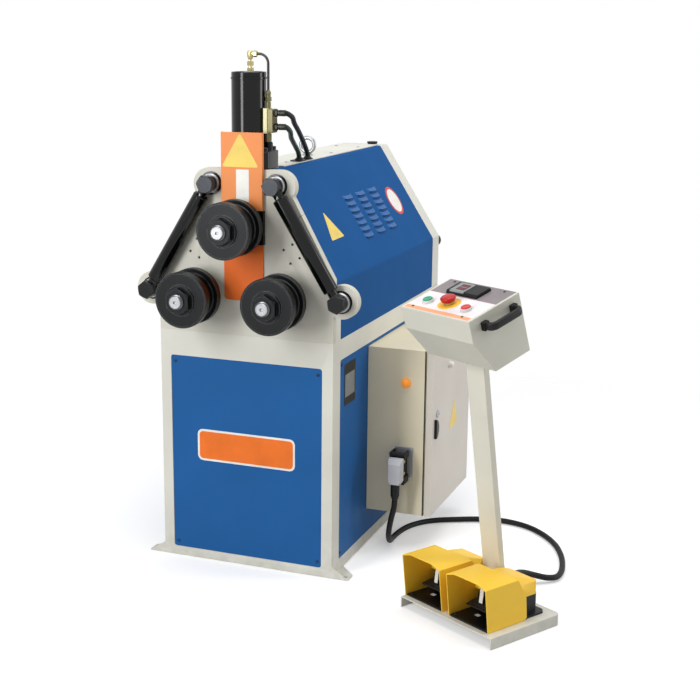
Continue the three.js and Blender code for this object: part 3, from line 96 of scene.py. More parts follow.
# Materials
class Nodes:
    """A node tree, with short calls for the nodes that the world and the finishes share."""

    def __init__(self, tree):
        self.t = tree

    def feed(self, socket, value):
        """Links a socket to its source or sets its constant."""
        if isinstance(value, bpy.types.NodeSocket):
            self.t.links.new(value, socket)
        elif socket.type == "RGBA" and len(value) == 3:
            socket.default_value = (*value, 1.0)
        else:
            socket.default_value = value

    def add(self, kind, links=(), **values):
        n = self.t.nodes.new(kind)
        for k, v in values.items():
            setattr(n, k, v)
        for socket, value in dict(links).items():
            self.feed(n.inputs[socket], value)
        return n

    def math(self, op, a, b=0.0):
        return self.add("ShaderNodeMath", {0: a, 1: b}, operation=op).outputs[0]

    def times(self, a, b):
        return self.math("MULTIPLY", a, b)

    def plus(self, a, b):
        return self.math("ADD", a, b)

    def seen(self):
        """1 for rays from the camera, off gloss and through glass, which meet the white background."""
        path = self.add("ShaderNodeLightPath").outputs
        first = self.math("MAXIMUM", path["Is Camera Ray"], path["Is Glossy Ray"])
        return self.math("MAXIMUM", first, path["Is Transmission Ray"])


class Finish(Nodes):
    """A new material's nodes and its main shader."""

    def __init__(self, name):
        self.mat = bpy.data.materials.new(name)
        self.mat.use_nodes = True
        super().__init__(self.mat.node_tree)
        self.bsdf = self.t.nodes["Principled BSDF"]
        self.where = self.add("ShaderNodeTexCoord").outputs["Object"]

    def set(self, **sockets):
        for k, v in sockets.items():
            self.feed(self.bsdf.inputs[k.replace("_", " ")], v)

    def noise(self, scale, detail=2.0, rough=0.5):
        links = {"Vector": self.where, "Scale": float(scale), "Detail": detail, "Roughness": rough}
        return self.add("ShaderNodeTexNoise", links).outputs["Fac"]

    def ramp(self, fac, a, b):
        return self.add("ShaderNodeMapRange", {0: fac, 1: a, 2: b}, clamp=True).outputs[0]

    def mix(self, fac, a, b):
        return self.add("ShaderNodeMix", {0: fac, 6: a, 7: b}, data_type="RGBA").outputs[2]

    def axes(self):
        return self.add("ShaderNodeSeparateXYZ", {0: self.where}).outputs

    def edges(self, radius, low=0.9, high=0.995):
        """1 near a corner, where a rounded normal leaves the true one, and 0 on a flat."""
        soft = self.add("ShaderNodeBevel", {"Radius": radius}, samples=4).outputs[0]
        true = self.add("ShaderNodeNewGeometry").outputs["Normal"]
        dot = self.add("ShaderNodeVectorMath", {0: soft, 1: true}, operation="DOT_PRODUCT").outputs["Value"]
        return self.math("SUBTRACT", 1.0, self.ramp(dot, low, high))

    def bump(self, height, strength, distance=0.0003):
        n = self.add("ShaderNodeBump", {"Height": height, "Strength": strength, "Distance": distance})
        self.t.links.new(n.outputs[0], self.bsdf.inputs["Normal"])


def srgb(h):
    parts = [int(h[i:i + 2], 16) / 255 for i in (0, 2, 4)]
    return tuple(x / 12.92 if x <= 0.04045 else ((x + 0.055) / 1.055) ** 2.4 for x in parts)


def shade(colour, k):
    return tuple(min(1.0, x * k) for x in colour)


# Noise scales that the finishes share, in waves per metre
CLOUDS, SPECKS, WEAR, DIRT, DRIFT, PEEL = 5.0, 260.0, 70.0, 30.0, 9.0, 520.0
DUST = srgb("8c8779")
DUST_TOP = 0.16


def painted(name, colour, rough=0.42, peel=0.12, mottle=0.06, edge=None, metal=0.0, dust=0.0, shine=0.35):
    """Powder coat or spray paint: cloudiness, specks, lighter edges, dust low down, fine orange peel. The
    lighter edges are wear, and with the louvres' pale edge colour a painted highlight.
    """
    m = Finish(name)
    paint = srgb(colour)
    base = m.mix(m.ramp(m.noise(CLOUDS, 4.0), 0.3, 0.7), shade(paint, 1 - mottle), shade(paint, 1 + mottle))
    speck = m.ramp(m.noise(SPECKS, 3.0, rough=0.7), 0.66, 0.74)
    base = m.mix(m.times(speck, 0.12), base, shade(paint, 0.72))
    if edge:
        # lighter edges: wear, and with the louvres' pale edge colour a painted highlight
        wear_and_highlight = m.times(m.edges(0.0018), m.ramp(m.noise(WEAR, 4.0), 0.38, 0.62))
        base = m.mix(m.times(wear_and_highlight, 0.55), base, srgb(edge))
    if dust:
        low = m.ramp(m.axes()[Z], DUST_TOP, 0.0)
        amount = m.times(low, m.ramp(m.noise(DIRT, 5.0), 0.35, 0.75))
        base = m.mix(m.times(amount, dust), base, DUST)
    m.set(Base_Color=base, Metallic=metal, Specular_IOR_Level=shine)
    m.set(Roughness=m.plus(m.times(m.noise(DRIFT, 3.0), 0.12), rough - 0.06))
    m.bump(m.noise(PEEL, 2.0), peel, 0.0004)
    return m.mat


def turned_metal(name, colour, bright, rough=0.35, rings=900, metal=0.9, edge=0.5):
    """Metal off the lathe: rings round the piece's own Y axis, with a painted highlight on its corners."""
    m = Finish(name)
    steel = srgb(colour)
    x, y, z = m.axes()
    radius = m.math("SQRT", m.plus(m.times(x, x), m.times(z, z)))
    round_and_along = {X: m.times(radius, float(rings)), Y: m.times(y, float(rings))}
    line = m.add("ShaderNodeCombineXYZ", round_and_along).outputs[0]
    groove = m.add("ShaderNodeTexNoise", {"Vector": line, "Scale": 1.0, "Detail": 2.0}).outputs["Fac"]
    base = m.mix(m.ramp(groove, 0.3, 0.7), shade(steel, 0.8), shade(steel, 1.25))
    base = m.mix(m.times(m.ramp(m.noise(26.0, 4.0), 0.5, 0.8), 0.25), base, shade(steel, 1.9))
    # the colour bright on the corners is a painted highlight
    base = m.mix(m.times(m.edges(0.0012), edge), base, srgb(bright))
    m.set(Base_Color=base, Metallic=metal)
    m.set(Roughness=m.plus(m.times(groove, 0.18), rough - 0.09))
    m.bump(groove, 0.25)
    return m.mat


def moulded(name, colour, rough=0.5, grain=1400, bump=0.18):
    """Moulded plastic or rubber: fine spark texture, slightly lighter corners."""
    m = Finish(name)
    plain = srgb(colour)
    corner = shade(plain, 1.9) if max(plain) > 0.02 else (0.05, 0.05, 0.052)
    base = m.mix(m.ramp(m.noise(14.0, 3.0), 0.3, 0.7), shade(plain, 0.9), shade(plain, 1.1))
    base = m.mix(m.times(m.edges(0.001), 0.35), base, corner)
    m.set(Base_Color=base, Specular_IOR_Level=0.24)
    m.set(Roughness=m.plus(m.times(m.noise(60.0, 3.0), 0.16), rough - 0.08))
    m.bump(m.noise(grain, 3.0), bump)
    return m.mat


# Paints of the machine
CREAM = painted("cream_coat", "d9d8ce", 0.45, edge="ebeae2", dust=0.3)
# Head cream: the cabinet's cream darkened, painted shade over the head plate
HEAD_CREAM_SHADED = painted("head_coat_shaded", "d0cec2", 0.45, edge="ebeae2", mottle=0.07)
BLUE = painted("blue_coat", "215d9b", 0.5, peel=0.16, mottle=0.05, edge="4d86c4", shine=0.1)
# Hood blue: the panels' blue darkened, painted shade against the stronger light on the slope
HOOD_BLUE_SHADED = painted("hood_coat_shaded", "1e5590", 0.6, peel=0.14, mottle=0.05, edge="4d86c4", shine=0.03)
# Louvre blue: the hood's blue lightened, with pale edges, a painted highlight of the lit ribs
LOUVRE_BLUE_HIGHLIT = painted("louvre_coat_highlit", "245f9e", 0.45, peel=0.1, mottle=0.05, edge="8db4e0", shine=0.18)
SCREW_BLUE = painted("screw_blue", "16335c", 0.4, edge="3c6294", shine=0.2)
ORANGE = painted("orange_coat", "e9702f", 0.5, edge="f2a06a", shine=0.15)
# Upper cover orange: the same paint lightened, a painted highlight on the cover
ORANGE_LIT = painted("orange_cover_coat_lit", "ee9150", 0.46, edge="f6b684", shine=0.3)
GREY = painted("grey_coat", "8f929a", 0.5, edge="c8cacf")
GLOSS = painted("gloss_black", "040505", 0.1, peel=0.002, mottle=0.15, edge="2c3032", shine=0.3)

# Paints of the enclosure and the pedestal
# Box and door are one beige: the box's coat is lightened, painted light against the shade on its front, and
# the door's is toned to the light on its side
BOX_COAT_SHADE_LIFTED = painted("enclosure_coat_shade_lifted", "e6dcc0", 0.5, edge="f0e9d6", mottle=0.05)
DOOR_COAT_LIT = painted("door_coat_lit", "d5cec4", 0.46, edge="eceae2", mottle=0.05)
POST = painted("post_coat", "dbd9cb", 0.5, edge="e6e4d6")
CBOX = painted("control_box_coat", "d2d1c4", 0.44, edge="e6e5dc", mottle=0.05)
YELLOW = painted("yellow_coat", "ffcd38", 0.45, edge="ffe28a", mottle=0.05, dust=0.1)

# Metals
BLACK_STEEL = turned_metal("black_steel", "101213", "8b8e91", 0.34, metal=0.65, edge=0.45)
BOLT_STEEL = turned_metal("bolt_steel", "2c2e31", "8c8f92", 0.3, metal=0.8, edge=0.5)
BRIGHT = turned_metal("bright_steel", "9c9ea1", "d8d8d8", 0.34, rings=1500, edge=0.4)
ALUMINIUM = turned_metal("aluminium_plate", "9aa0a6", "d0d4d8", 0.38, rings=500, edge=0.3)
BRASS = turned_metal("brass_fitting", "b3a878", "f0ecd4", 0.3, edge=0.5)
OLIVE = painted("olive_passivate", "6f6a48", 0.38, metal=0.5, edge="c2bb90")
FERRULE = painted("black_ferrule", "24251f", 0.35, metal=0.4, edge="6d6c58")
CREAMY = painted("valve_yellow", "cac49c", 0.42, metal=0.25, edge="e9e4c8")
PIPE = painted("dark_pipe", "3a3a38", 0.3, metal=0.6, edge="77756c")
SOCKET_METAL = painted("socket_metal", "9a9da2", 0.4, metal=0.5, edge="d5d7dc")

# Plastics and rubber
RUBBER = moulded("rubber", "0b0d0e", 0.55, grain=900)
HOSE_GREEN = moulded("hose_green", "1d2d25", 0.42, grain=900)
PLASTIC = moulded("black_plastic", "0d0e0e", 0.42)
PLUG_GREY = moulded("plug_grey", "b4b5bb", 0.45)
PALE = moulded("pale_plastic", "d3d3cf", 0.4)
FRAME_GREY = moulded("display_grey", "8a9190", 0.4)
GREEN = moulded("green_button", "1f9d77", 0.28, bump=0.05)
RED = moulded("red_button", "b5201c", 0.25, bump=0.03)
SOFT_RED = moulded("stop_red", "cf3a3c", 0.3, bump=0.03)
WINDOW = moulded("red_window", "5e1d2a", 0.2, bump=0.02)
PANEL_WHITE = moulded("panel_white", "e8e2e4", 0.3, bump=0.03)
BAND_ORANGE = moulded("band_orange", "f0a579", 0.32, bump=0.03)
LINE_PINK = moulded("line_pink", "e7b9bb", 0.32, bump=0.03)

# Lamp lens, faintly lit
LENS = moulded("orange_lens", "f59a3c", 0.2, bump=0.05)
glow = LENS.node_tree.nodes["Principled BSDF"].inputs
glow["Emission Color"].default_value = (1.0, 0.35, 0.05, 1)
glow["Emission Strength"].default_value = 0.25

# Printed foils, all blank
SIGN_COLOURS = {"yellow": "f0d264", "white": "eceae4", "red": "c9382e", "black": "1c1b1a", "orange": "ec7426",
                "mauve": "857d80"}
SIGN = {name: moulded("sign_" + name, colour, 0.35, bump=0.05) for name, colour in SIGN_COLOURS.items()}
RING_YELLOW = moulded("ring_yellow", "f0b728", 0.35, bump=0.05)


# Mesh helpers
def piece(name, bm, material, stands_for=(), body="machine", slot=None, place=MACHINE, origin=None, angle=35,
          bevel=0.0, segments=2):
    """Finished mesh in the row frame, riding on a body. origin, in the place's units, becomes its own."""
    bmesh.ops.remove_doubles(bm, verts=bm.verts, dist=WELD)
    bmesh.ops.recalc_face_normals(bm, faces=bm.faces)
    own = Matrix.Identity(4)
    if origin:
        own = Matrix.Translation(place @ Vector(origin)) @ place.to_3x3().normalized().to_4x4()
    bm.transform(own.inverted() @ place)
    for f in bm.faces:
        f.smooth = True
    me = bpy.data.meshes.new(name)
    bm.to_mesh(me)
    bm.free()
    me.set_sharp_from_angle(angle=radians(angle))
    me.materials.append(material)
    ob = bpy.data.objects.new(name, me)
    ob.matrix_world = own
    scene.collection.objects.link(ob)
    if bevel:
        mod = ob.modifiers.new("edges", "BEVEL")
        mod.width = bevel * MM
        mod.segments = segments
        mod.limit_method = "ANGLE"
        mod.angle_limit = radians(angle)
        mod.harden_normals = True
    return riding(ob, body, stands_for)


def riding(ob, body, stands_for):
    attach(ob, body)
    if stands_for:
        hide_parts(*stands_for)
    return ob


def trim(bm, x):
    """Cuts off what lies beyond a plane across X and closes it."""
    everything = bm.verts[:] + bm.edges[:] + bm.faces[:]
    bmesh.ops.bisect_plane(bm, geom=everything, plane_co=(x, 0, 0), plane_no=(1, 0, 0), clear_outer=True)
    bmesh.ops.holes_fill(bm, edges=[e for e in bm.edges if e.is_boundary])


def round_off(bm, chosen, radius):
    """Rounds the bent edges whose two ends pass a test."""
    bent = [e for e in bm.edges if all(chosen(v.co) for v in e.verts) and e.is_manifold
            and 0.2 < e.calc_face_angle() < 2]
    bmesh.ops.bevel(bm, geom=bent, offset=radius, offset_type="OFFSET", segments=5, profile=0.5,
                    affect="EDGES", clamp_overlap=True)


def from_cad(node, material, bevel, segments=2, body="machine", angle=35, trim_x=None, soft=None, radius=0):
    """A CAD node's own form with rounded edges, standing for it. trim_x closes it at a plane across X, and
    radius is a larger one for the edges whose two ends pass the test soft."""
    bm = bmesh.new()
    bm.from_mesh(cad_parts[node].data)
    bmesh.ops.remove_doubles(bm, verts=bm.verts, dist=CAD_WELD)
    bmesh.ops.dissolve_limit(bm, angle_limit=COPLANAR, verts=bm.verts, edges=bm.edges)
    bm.transform(MACHINE.inverted())
    if trim_x:
        trim(bm, trim_x)
    if soft:
        round_off(bm, soft, radius)
    return piece(node + "_dressed", bm, material, (node,), body, bevel=bevel, segments=segments, angle=angle)


def box(bm, x0, x1, y0, y1, z0, z1):
    vs = [bm.verts.new((x, y, z)) for x in (x0, x1) for y in (y0, y1) for z in (z0, z1)]
    for f in ((0, 1, 3, 2), (4, 6, 7, 5), (0, 4, 5, 1), (2, 3, 7, 6), (0, 2, 6, 4), (1, 5, 7, 3)):
        bm.faces.new([vs[i] for i in f])


def bridge(bm, rings, closed=False):
    """Faces between rings of equally many points, each ring closed on itself."""
    for a, b in zip(rings, rings[1:] + (rings[:1] if closed else [])):
        for i in range(len(a)):
            j = (i + 1) % len(a)
            bm.faces.new([a[i], a[j], b[j], b[i]])


AXES = {"Y": lambda a, b, t: (a, t, b), "Z": lambda a, b, t: (a, b, t), "X": lambda a, b, t: (t, a, b)}


def circle(n):
    return [(cos(2 * pi * i / n), sin(2 * pi * i / n)) for i in range(n)]


def lathe(bm, profile, centre=(0, 0), axis="Y", n=64):
    """Surface of revolution of (radius, place along the axis); centre is the other two coordinates."""
    place = AXES[axis]
    rings = []
    for r, t in profile:
        if r < 1e-6:
            rings.append([bm.verts.new(place(*centre, t))])
        else:
            rings.append([bm.verts.new(place(centre[0] + r * c, centre[1] + r * s, t)) for c, s in circle(n)])
    for a, b in zip(rings, rings[1:]):
        for i in range(n):
            j = (i + 1) % n
            corners = dict.fromkeys((a[i % len(a)], a[j % len(a)], b[j % len(b)], b[i % len(b)]))
            if len(corners) > 2:
                bm.faces.new(list(corners))


def prism(bm, outline, t0, t1, axis="Y"):
    """Outline drawn out along an axis between two places."""
    ends = [[bm.verts.new(AXES[axis](a, b, t)) for a, b in outline] for t in (t0, t1)]
    for end in ends:
        bm.faces.new(end)
    bridge(bm, ends)


def rounded(a0, a1, b0, b1, r, n=6):
    """Rectangle with round corners."""
    corners = ((a1 - r, b0 + r, -90), (a1 - r, b1 - r, 0), (a0 + r, b1 - r, 90), (a0 + r, b0 + r, 180))
    turns = [(a, b, radians(start + 90 * i / n)) for a, b, start in corners for i in range(n + 1)]
    return [(a + r * cos(t), b + r * sin(t)) for a, b, t in turns]


def disc(cx, cy, r, n=48):
    return [(cx + r * c, cy + r * s) for c, s in circle(n)]


def soft_corners(points, r, n=5):
    """Polygon with each corner rounded."""
    out = []
    for i in range(len(points)):
        a, b, c = (Vector(points[(i + d) % len(points)]) for d in (-1, 0, 1))
        u, v = (a - b).normalized(), (c - b).normalized()
        reach = r / tan(u.angle(v) / 2)
        out += arc_between(b + u * reach, b, b + v * reach, n)
    return out


def arc_between(p, corner, q, n):
    """Quadratic arc from p to q, drawn towards a corner."""
    shares = [i / n for i in range(n + 1)]
    return [tuple((1 - t) ** 2 * p + 2 * t * (1 - t) * corner + t * t * q) for t in shares]


def smooth(points, steps=8):
    """Centripetal curve through points, as in the part's source."""
    p = [Vector(q) for q in points]
    p = [2 * p[0] - p[1], *p, 2 * p[-1] - p[-2]]
    out = []
    for i in range(1, len(p) - 2):
        a, b, c, d = p[i - 1:i + 3]
        d0, d1, d2 = (max(sqrt((v - w).length), 1e-4) for v, w in ((a, b), (b, c), (c, d)))
        t1 = ((b - a) / d0 - (c - a) / (d0 + d1) + (c - b) / d1) * d1
        t2 = ((c - b) / d1 - (d - b) / (d1 + d2) + (d - c) / d2) * d1
        for t in (k / steps for k in range(steps)):
            out.append(b + t1 * t + (3 * (c - b) - 2 * t1 - t2) * t ** 2 + (2 * (b - c) + t1 + t2) * t ** 3)
    return out + [p[-2]]


def wire(name, points, radius, material, stands_for=()):
    """Round cord or pipe along points, as a curve of one spline."""
    curve = bpy.data.curves.new(name, "CURVE")
    curve.dimensions = "3D"
    curve.bevel_depth = radius * MM
    curve.bevel_resolution = 6
    curve.use_fill_caps = True
    curve.materials.append(material)
    spline = curve.splines.new("POLY")
    spline.points.add(len(points) - 1)
    spline.use_smooth = True
    for knot, place in zip(spline.points, points):
        knot.co = (*(MACHINE @ Vector(place)), 1)
        knot.radius = 1
    ob = bpy.data.objects.new(name, curve)
    scene.collection.objects.link(ob)
    return riding(ob, "machine", stands_for)


# Places on sloped and upright faces
def facing(origin, across, up):
    """Frame whose X runs across a face, Y up it and Z out of it."""
    x, y = Vector(across).normalized(), Vector(up).normalized()
    m = Matrix((x, y, x.cross(y))).transposed().to_4x4()
    m.translation = Vector(origin)
    return m


def at(x, y, z, out=(0, 0, 1)):
    """Frame at a place whose Z points out."""
    z_axis = Vector(out).normalized()
    x_axis = Vector((1, 0, 0)) if abs(z_axis.x) < 0.9 else Vector((0, 1, 0))
    y_axis = z_axis.cross(x_axis).normalized()
    m = Matrix((y_axis.cross(z_axis), y_axis, z_axis)).transposed().to_4x4()
    m.translation = (x, y, z)
    return m


def seat_of(node, out):
    """Frame in the middle of the side that a node stands on, its Z pointing out through the node."""
    low, high = span(node)
    ends = {1: low, -1: high}
    return at(*(ends[out[axis]][axis] if out[axis] else middle(node, axis) for axis in (X, Y, Z)), out)


FLAT = Matrix.Identity(4)
TOWARDS, BEHIND, RIGHTWARDS, LEFTWARDS = (0, -1, 0), (0, 1, 0), (1, 0, 0), (-1, 0, 0)
UPWARDS = (0, 0, 1)
FOLD = (HALF, 848.3)
LIP = (76, HOOD_TOP)
SLOPE = facing((FOLD[0], 0, FOLD[1]), (0, 1, 0), (LIP[0] - FOLD[0], 0, LIP[1] - FOLD[1]))
FRONT = facing((0, 0, 0), (1, 0, 0), (0, 0, 1))
RIGHT = facing((0, 0, 0), (0, 1, 0), (0, 0, 1))


def spin(bm, m, profile, n=48):
    """Surface of revolution of (radius, height) about a frame's Z."""
    start = len(bm.verts)
    lathe(bm, profile, (0, 0), "Z", n)
    bm.verts.ensure_lookup_table()
    bmesh.ops.transform(bm, matrix=m, verts=bm.verts[start:])


def solid(*rim):
    """Profile of a solid turned part: the corners of its rim, with flat ends."""
    return [(TIP, rim[0][1]), *rim, (TIP, rim[-1][1])]


def bar(radius, low, high):
    """Profile of a plain round bar between two heights."""
    return solid((radius, low), (radius, high))


def ring(bore, rim):
    """Profile of a ring: its bore and the corners of its rim, closed."""
    low, high = rim[0][1], rim[-1][1]
    return [(bore, low), *rim, (bore, high), (bore, low)]


def nut_form(bm, m, flats, height, bore=TIP, both=False):
    """Hexagon with chamfered corners along a frame's Z, open or closed in the middle."""
    n, drop = 60, 0.6
    inner = flats / 2 * 0.97
    reach = [flats / 2 / cos((i * 2 * pi / n + pi / 6) % (pi / 3) - pi / 6) for i in range(n)]
    fall = [(r - inner) * drop for r in reach]

    def level(radii, heights):
        around = zip(radii, circle(n), heights)
        return [bm.verts.new(m @ Vector((r * c, r * s, h))) for r, (c, s), h in around]

    hole, rim, foot, top = [bore] * n, [inner] * n, [0] * n, [height] * n
    rings = [level(hole, foot)]
    if both:
        rings += [level(rim, foot), level(reach, fall)]
    else:
        rings += [level(reach, foot)]
    rings += [level(reach, [height - f for f in fall]), level(rim, top), level(hole, top)]
    bridge(bm, rings, closed=True)


def turned(name, spins, material, stands_for=(), **more):
    """Piece made of surfaces of revolution, each a frame, a profile and its number of sides."""
    bm = bmesh.new()
    for m, profile, sides in spins:
        spin(bm, m, profile, sides)
    return piece(name, bm, material, stands_for, **more)


def drawn(name, outline, t0, t1, axis, material, stands_for=(), **more):
    """Piece that is one outline drawn out along an axis."""
    bm = bmesh.new()
    prism(bm, outline, t0, t1, axis)
    return piece(name, bm, material, stands_for, **more)


def block(name, sides, material, stands_for=(), **more):
    """Piece that is one plain box."""
    bm = bmesh.new()
    box(bm, *sides)
    return piece(name, bm, material, stands_for, **more)


def plate(name, outline, face, depth, thick, material, bevel=0.25, slot="cream_paint", **more):
    """Thin plate on a face: outline in the face's plane, standing out from depth."""
    bm = bmesh.new()
    prism(bm, outline, depth, depth + thick, "Z")
    bm.transform(face)
    return piece(name, bm, material, bevel=bevel, slot=slot, **more)


def pan_screws(name, spots, material, radius, height, place=MACHINE):
    """Low round screw heads with a recess and a washer. Each spot is a place and the way out."""
    washer, crown, recess = radius * 1.45, radius * 0.86, height * 0.4
    profile = solid((washer, 0.05), (washer, 0.75), (radius * 1.38, 0.9), (radius, 0.9), (radius, 1.5),
                    (crown, height * 0.86), (radius * 0.6, height), (radius * 0.46, height),
                    (radius * 0.44, recess))
    heads = [(at(*where, out), profile, 24) for where, out in spots]
    return turned(name, heads, material, place=place)


# The cable and the two hoses
CABLE_RADIUS, HOSE_RADIUS = 8.5, 7
CABLE = [[376.1, 227.7, 179.7], [373.7, 228.4, 152], [366.5, 230, 122], [359.5, 234, 91], [353, 246, 63],
         [346, 271, 37], [338, 306, 18], [332, 346, 10], [333, 392, 9.2], [341, 444, 9.2],
         [357, 487, 9.2], [383, 525, 9.2], [420, 556, 9.2], [467, 582, 9.2], [530, 611, 9.2],
         [604, 626, 9.2], [680, 608, 9.2], [742, 562, 9.2], [798, 490, 9.2], [836, 404, 9.2],
         [855, 330, 9.2], [862, 272, 9.6], [857, 228, 12], [836, 205, 16], [808, 190, 24], [784, 168, 36],
         [773, 138, 47], [770, 100, 57], [770, 62, 64], [764.6, 21, 66], [754.85, 4.3, 66]]
UPPER = [[98.4, 39, 1300.4], [109, 39, 1300.4], [114, 68, 1290], [101, 118, 1269], [88, 181, 1243],
         [72, 254, 1210], [59, 316, 1176], [58, 325, 1164], [58, 325, 1154.4]]
LOWER = [[98.4, 39, 1263.4], [108, 39, 1263.4], [109, 66, 1252], [90, 123, 1228], [70, 200, 1200],
         [56, 260, 1174], [54, 269, 1163], [54, 269, 1154.4]]
cable_points = smooth(CABLE)
cable = wire("cable_sheath", cable_points, CABLE_RADIUS, RUBBER, ("cable",))
wire("hose_upper_rubber", smooth(UPPER), HOSE_RADIUS, RUBBER, ("hose_upper",))
wire("hose_lower_rubber", smooth(LOWER), HOSE_RADIUS, HOSE_GREEN, ("hose_lower",))

# Floor, white to the camera and clear far from the machine
FLOOR_SIZE, FLOOR_DROP = 14, 0.0005
FLOOR_MIDDLE, FLOOR_FADE = (0.25, 0.3, 0.0), (1.5, 2.4)
bm = bmesh.new()
bmesh.ops.create_grid(bm, x_segments=2, y_segments=2, size=FLOOR_SIZE)
floor_mesh = bpy.data.meshes.new("floor")
bm.to_mesh(floor_mesh)
bm.free()
floor = bpy.data.objects.new("floor", floor_mesh)
scene.collection.objects.link(floor)
floor.location.z = -FLOOR_DROP
paper = Finish("floor_paper")
seen = paper.seen()
tone = paper.mix(seen, (0.45, 0.45, 0.45), (0.86, 0.86, 0.86))
paper.set(Base_Color=tone, Roughness=0.9, Specular_IOR_Level=0.1)
paper.set(Emission_Color=(1, 1, 1), Emission_Strength=paper.times(seen, 0.3))
offset = paper.add("ShaderNodeVectorMath", {0: paper.where, 1: FLOOR_MIDDLE}, operation="SUBTRACT").outputs[0]
away = paper.add("ShaderNodeVectorMath", {0: offset}, operation="LENGTH").outputs["Value"]
clear = paper.add("ShaderNodeBsdfTransparent").outputs[0]
fade = {0: paper.ramp(away, *FLOOR_FADE), 1: paper.bsdf.outputs[0], 2: clear}
surface = paper.add("ShaderNodeMixShader", fade).outputs[0]
paper.feed(paper.t.nodes["Material Output"].inputs["Surface"], surface)
floor_mesh.materials.append(paper.mat)

# World, white where it is seen and dimmer as light
WORLD_LIGHT, WORLD_SEEN = 0.45, 0.55
world = bpy.data.worlds.new("studio")
scene.world = world
world.use_nodes = True
sky = Nodes(world.node_tree)
background = sky.t.nodes["Background"].inputs
background["Color"].default_value = (1, 1, 1, 1)
sky.feed(background["Strength"], sky.plus(sky.times(sky.seen(), WORLD_SEEN), WORLD_LIGHT))


def lamp(name, place, aim, size, power):
    data = bpy.data.lights.new(name, "AREA")
    data.shape = "RECTANGLE"
    data.size, data.size_y = size
    data.energy = power
    ob = bpy.data.objects.new(name, data)
    ob.location = place
    ob.rotation_euler = (Vector(aim) - Vector(place)).to_track_quat("-Z", "Y").to_euler()
    scene.collection.objects.link(ob)


lamp("key", (-1.6, -3.95, 2.1), (0.3, 0.0, 0.7), (1.2, 3.2), 128)
lamp("fill", (3.7, 1.5, 1.9), (0.2, 0.2, 0.7), (1.1, 2.6), 42)
lamp("top", (0.6, 0.0, 4.2), (0.4, 0.1, 0.5), (3.0, 3.0), 75)

# Rolls, shafts and nuts, as radius and depth
ROLL_RADIUS = span("top_roll")[1][X]
ROLL_FRONT, ROLL_BACK = (corner[Y] for corner in span("top_roll"))
ROLL_BORE, HUB, DISH, NECK = 20.5, 44, 72.6, 64
GROOVE_FRONT, GROOVE_BACK = -119.5, -69
DISH_DEPTH = ROLL_FRONT + 0.6
ROLL_PROFILE = [
    (ROLL_BORE, ROLL_FRONT), (40, ROLL_FRONT), (HUB, ROLL_FRONT), (HUB + 0.6, DISH_DEPTH), (DISH, DISH_DEPTH),
    (DISH + 0.6, ROLL_FRONT), (76.3, ROLL_FRONT), (ROLL_RADIUS, ROLL_FRONT + 1.5), (ROLL_RADIUS, -121),
    (76.6, GROOVE_FRONT), (66, GROOVE_FRONT), (NECK, GROOVE_FRONT + 2), (NECK, GROOVE_BACK - 2),
    (66, GROOVE_BACK), (76.6, GROOVE_BACK), (ROLL_RADIUS, -67.8), (ROLL_RADIUS, ROLL_BACK - 1.5),
    (76.25, ROLL_BACK), (ROLL_BORE, ROLL_BACK), (ROLL_BORE, ROLL_FRONT)]
THREAD_ROOT, THREAD_CREST, THREAD_TURNS = 17.4, 19.9, 10
SHAFT_TIP, SHAFT_FACE = -176, -173.6
SHAFT_END = [(0, -170.5), (3.2, -172.2), (4.6, SHAFT_TIP), (14.5, SHAFT_TIP), (15.1, -175.6), (16.2, -175.6),
             (17.0, -174.6), (THREAD_ROOT, SHAFT_FACE)]
THREAD = [(THREAD_CREST if i % 2 else THREAD_ROOT, SHAFT_FACE + i) for i in range(THREAD_TURNS)]
SHAFT_RADIUS, COLLAR_RADIUS, JOURNAL_RADIUS = 20, 42, 30
COLLAR_FRONT = ROLL_BACK + GAP
SHOULDERS = {"top": -11.7, "left": -0.5, "right": -0.5}
NUT_FLATS, NUT_HEIGHT, NUT_BORE, NUT_SEAT = 66, 17, 20.6, -147.8
NUT_FLANGE = [(41.3, -6), (42.5, -4.8), (42.5, -1.2), (41.3, 0)]


def lathed(name, profile, x, z, sides, body, material, stands_for=(), slot=None):
    """Piece turned round a line from front to back, which stays its own axis."""
    bm = bmesh.new()
    lathe(bm, profile, (x, z), n=sides)
    return piece(name, bm, material, stands_for, body, slot, origin=(x, 0, z), angle=28)


for side, shoulder in SHOULDERS.items():
    body = side + "_roller"
    x, z = middle(side + "_roll", X), middle(side + "_roll", Z)
    rear = span(side + "_shaft")[1][Y]
    steel = turned_metal(side + "_shaft_steel", "3a3c3f", "a9abae", 0.32)
    shaft = THREAD + [
        (THREAD_CREST, -163), (SHAFT_RADIUS, COLLAR_FRONT), (COLLAR_RADIUS, COLLAR_FRONT),
        (COLLAR_RADIUS, shoulder), (JOURNAL_RADIUS, shoulder), (JOURNAL_RADIUS, rear), (0, rear)]
    lathed(side + "_roll_turned", ROLL_PROFILE, x, z, 112, body, BLACK_STEEL, (side + "_roll",))
    lathed(side + "_shaft_end", SHAFT_END, x, z, 72, body, BRIGHT)
    lathed(side + "_shaft_turned", shaft, x, z, 72, body, steel, (side + "_shaft",), "bright_steel")
    bm = bmesh.new()
    nut_place = at(x, NUT_SEAT, z, TOWARDS)
    spin(bm, nut_place, ring(NUT_BORE, NUT_FLANGE), 96)
    nut_form(bm, nut_place, NUT_FLATS, NUT_HEIGHT, NUT_BORE)
    piece(side + "_nut_turned", bm, BLACK_STEEL, (side + "_nut",), body, origin=(x, 0, z), angle=24)

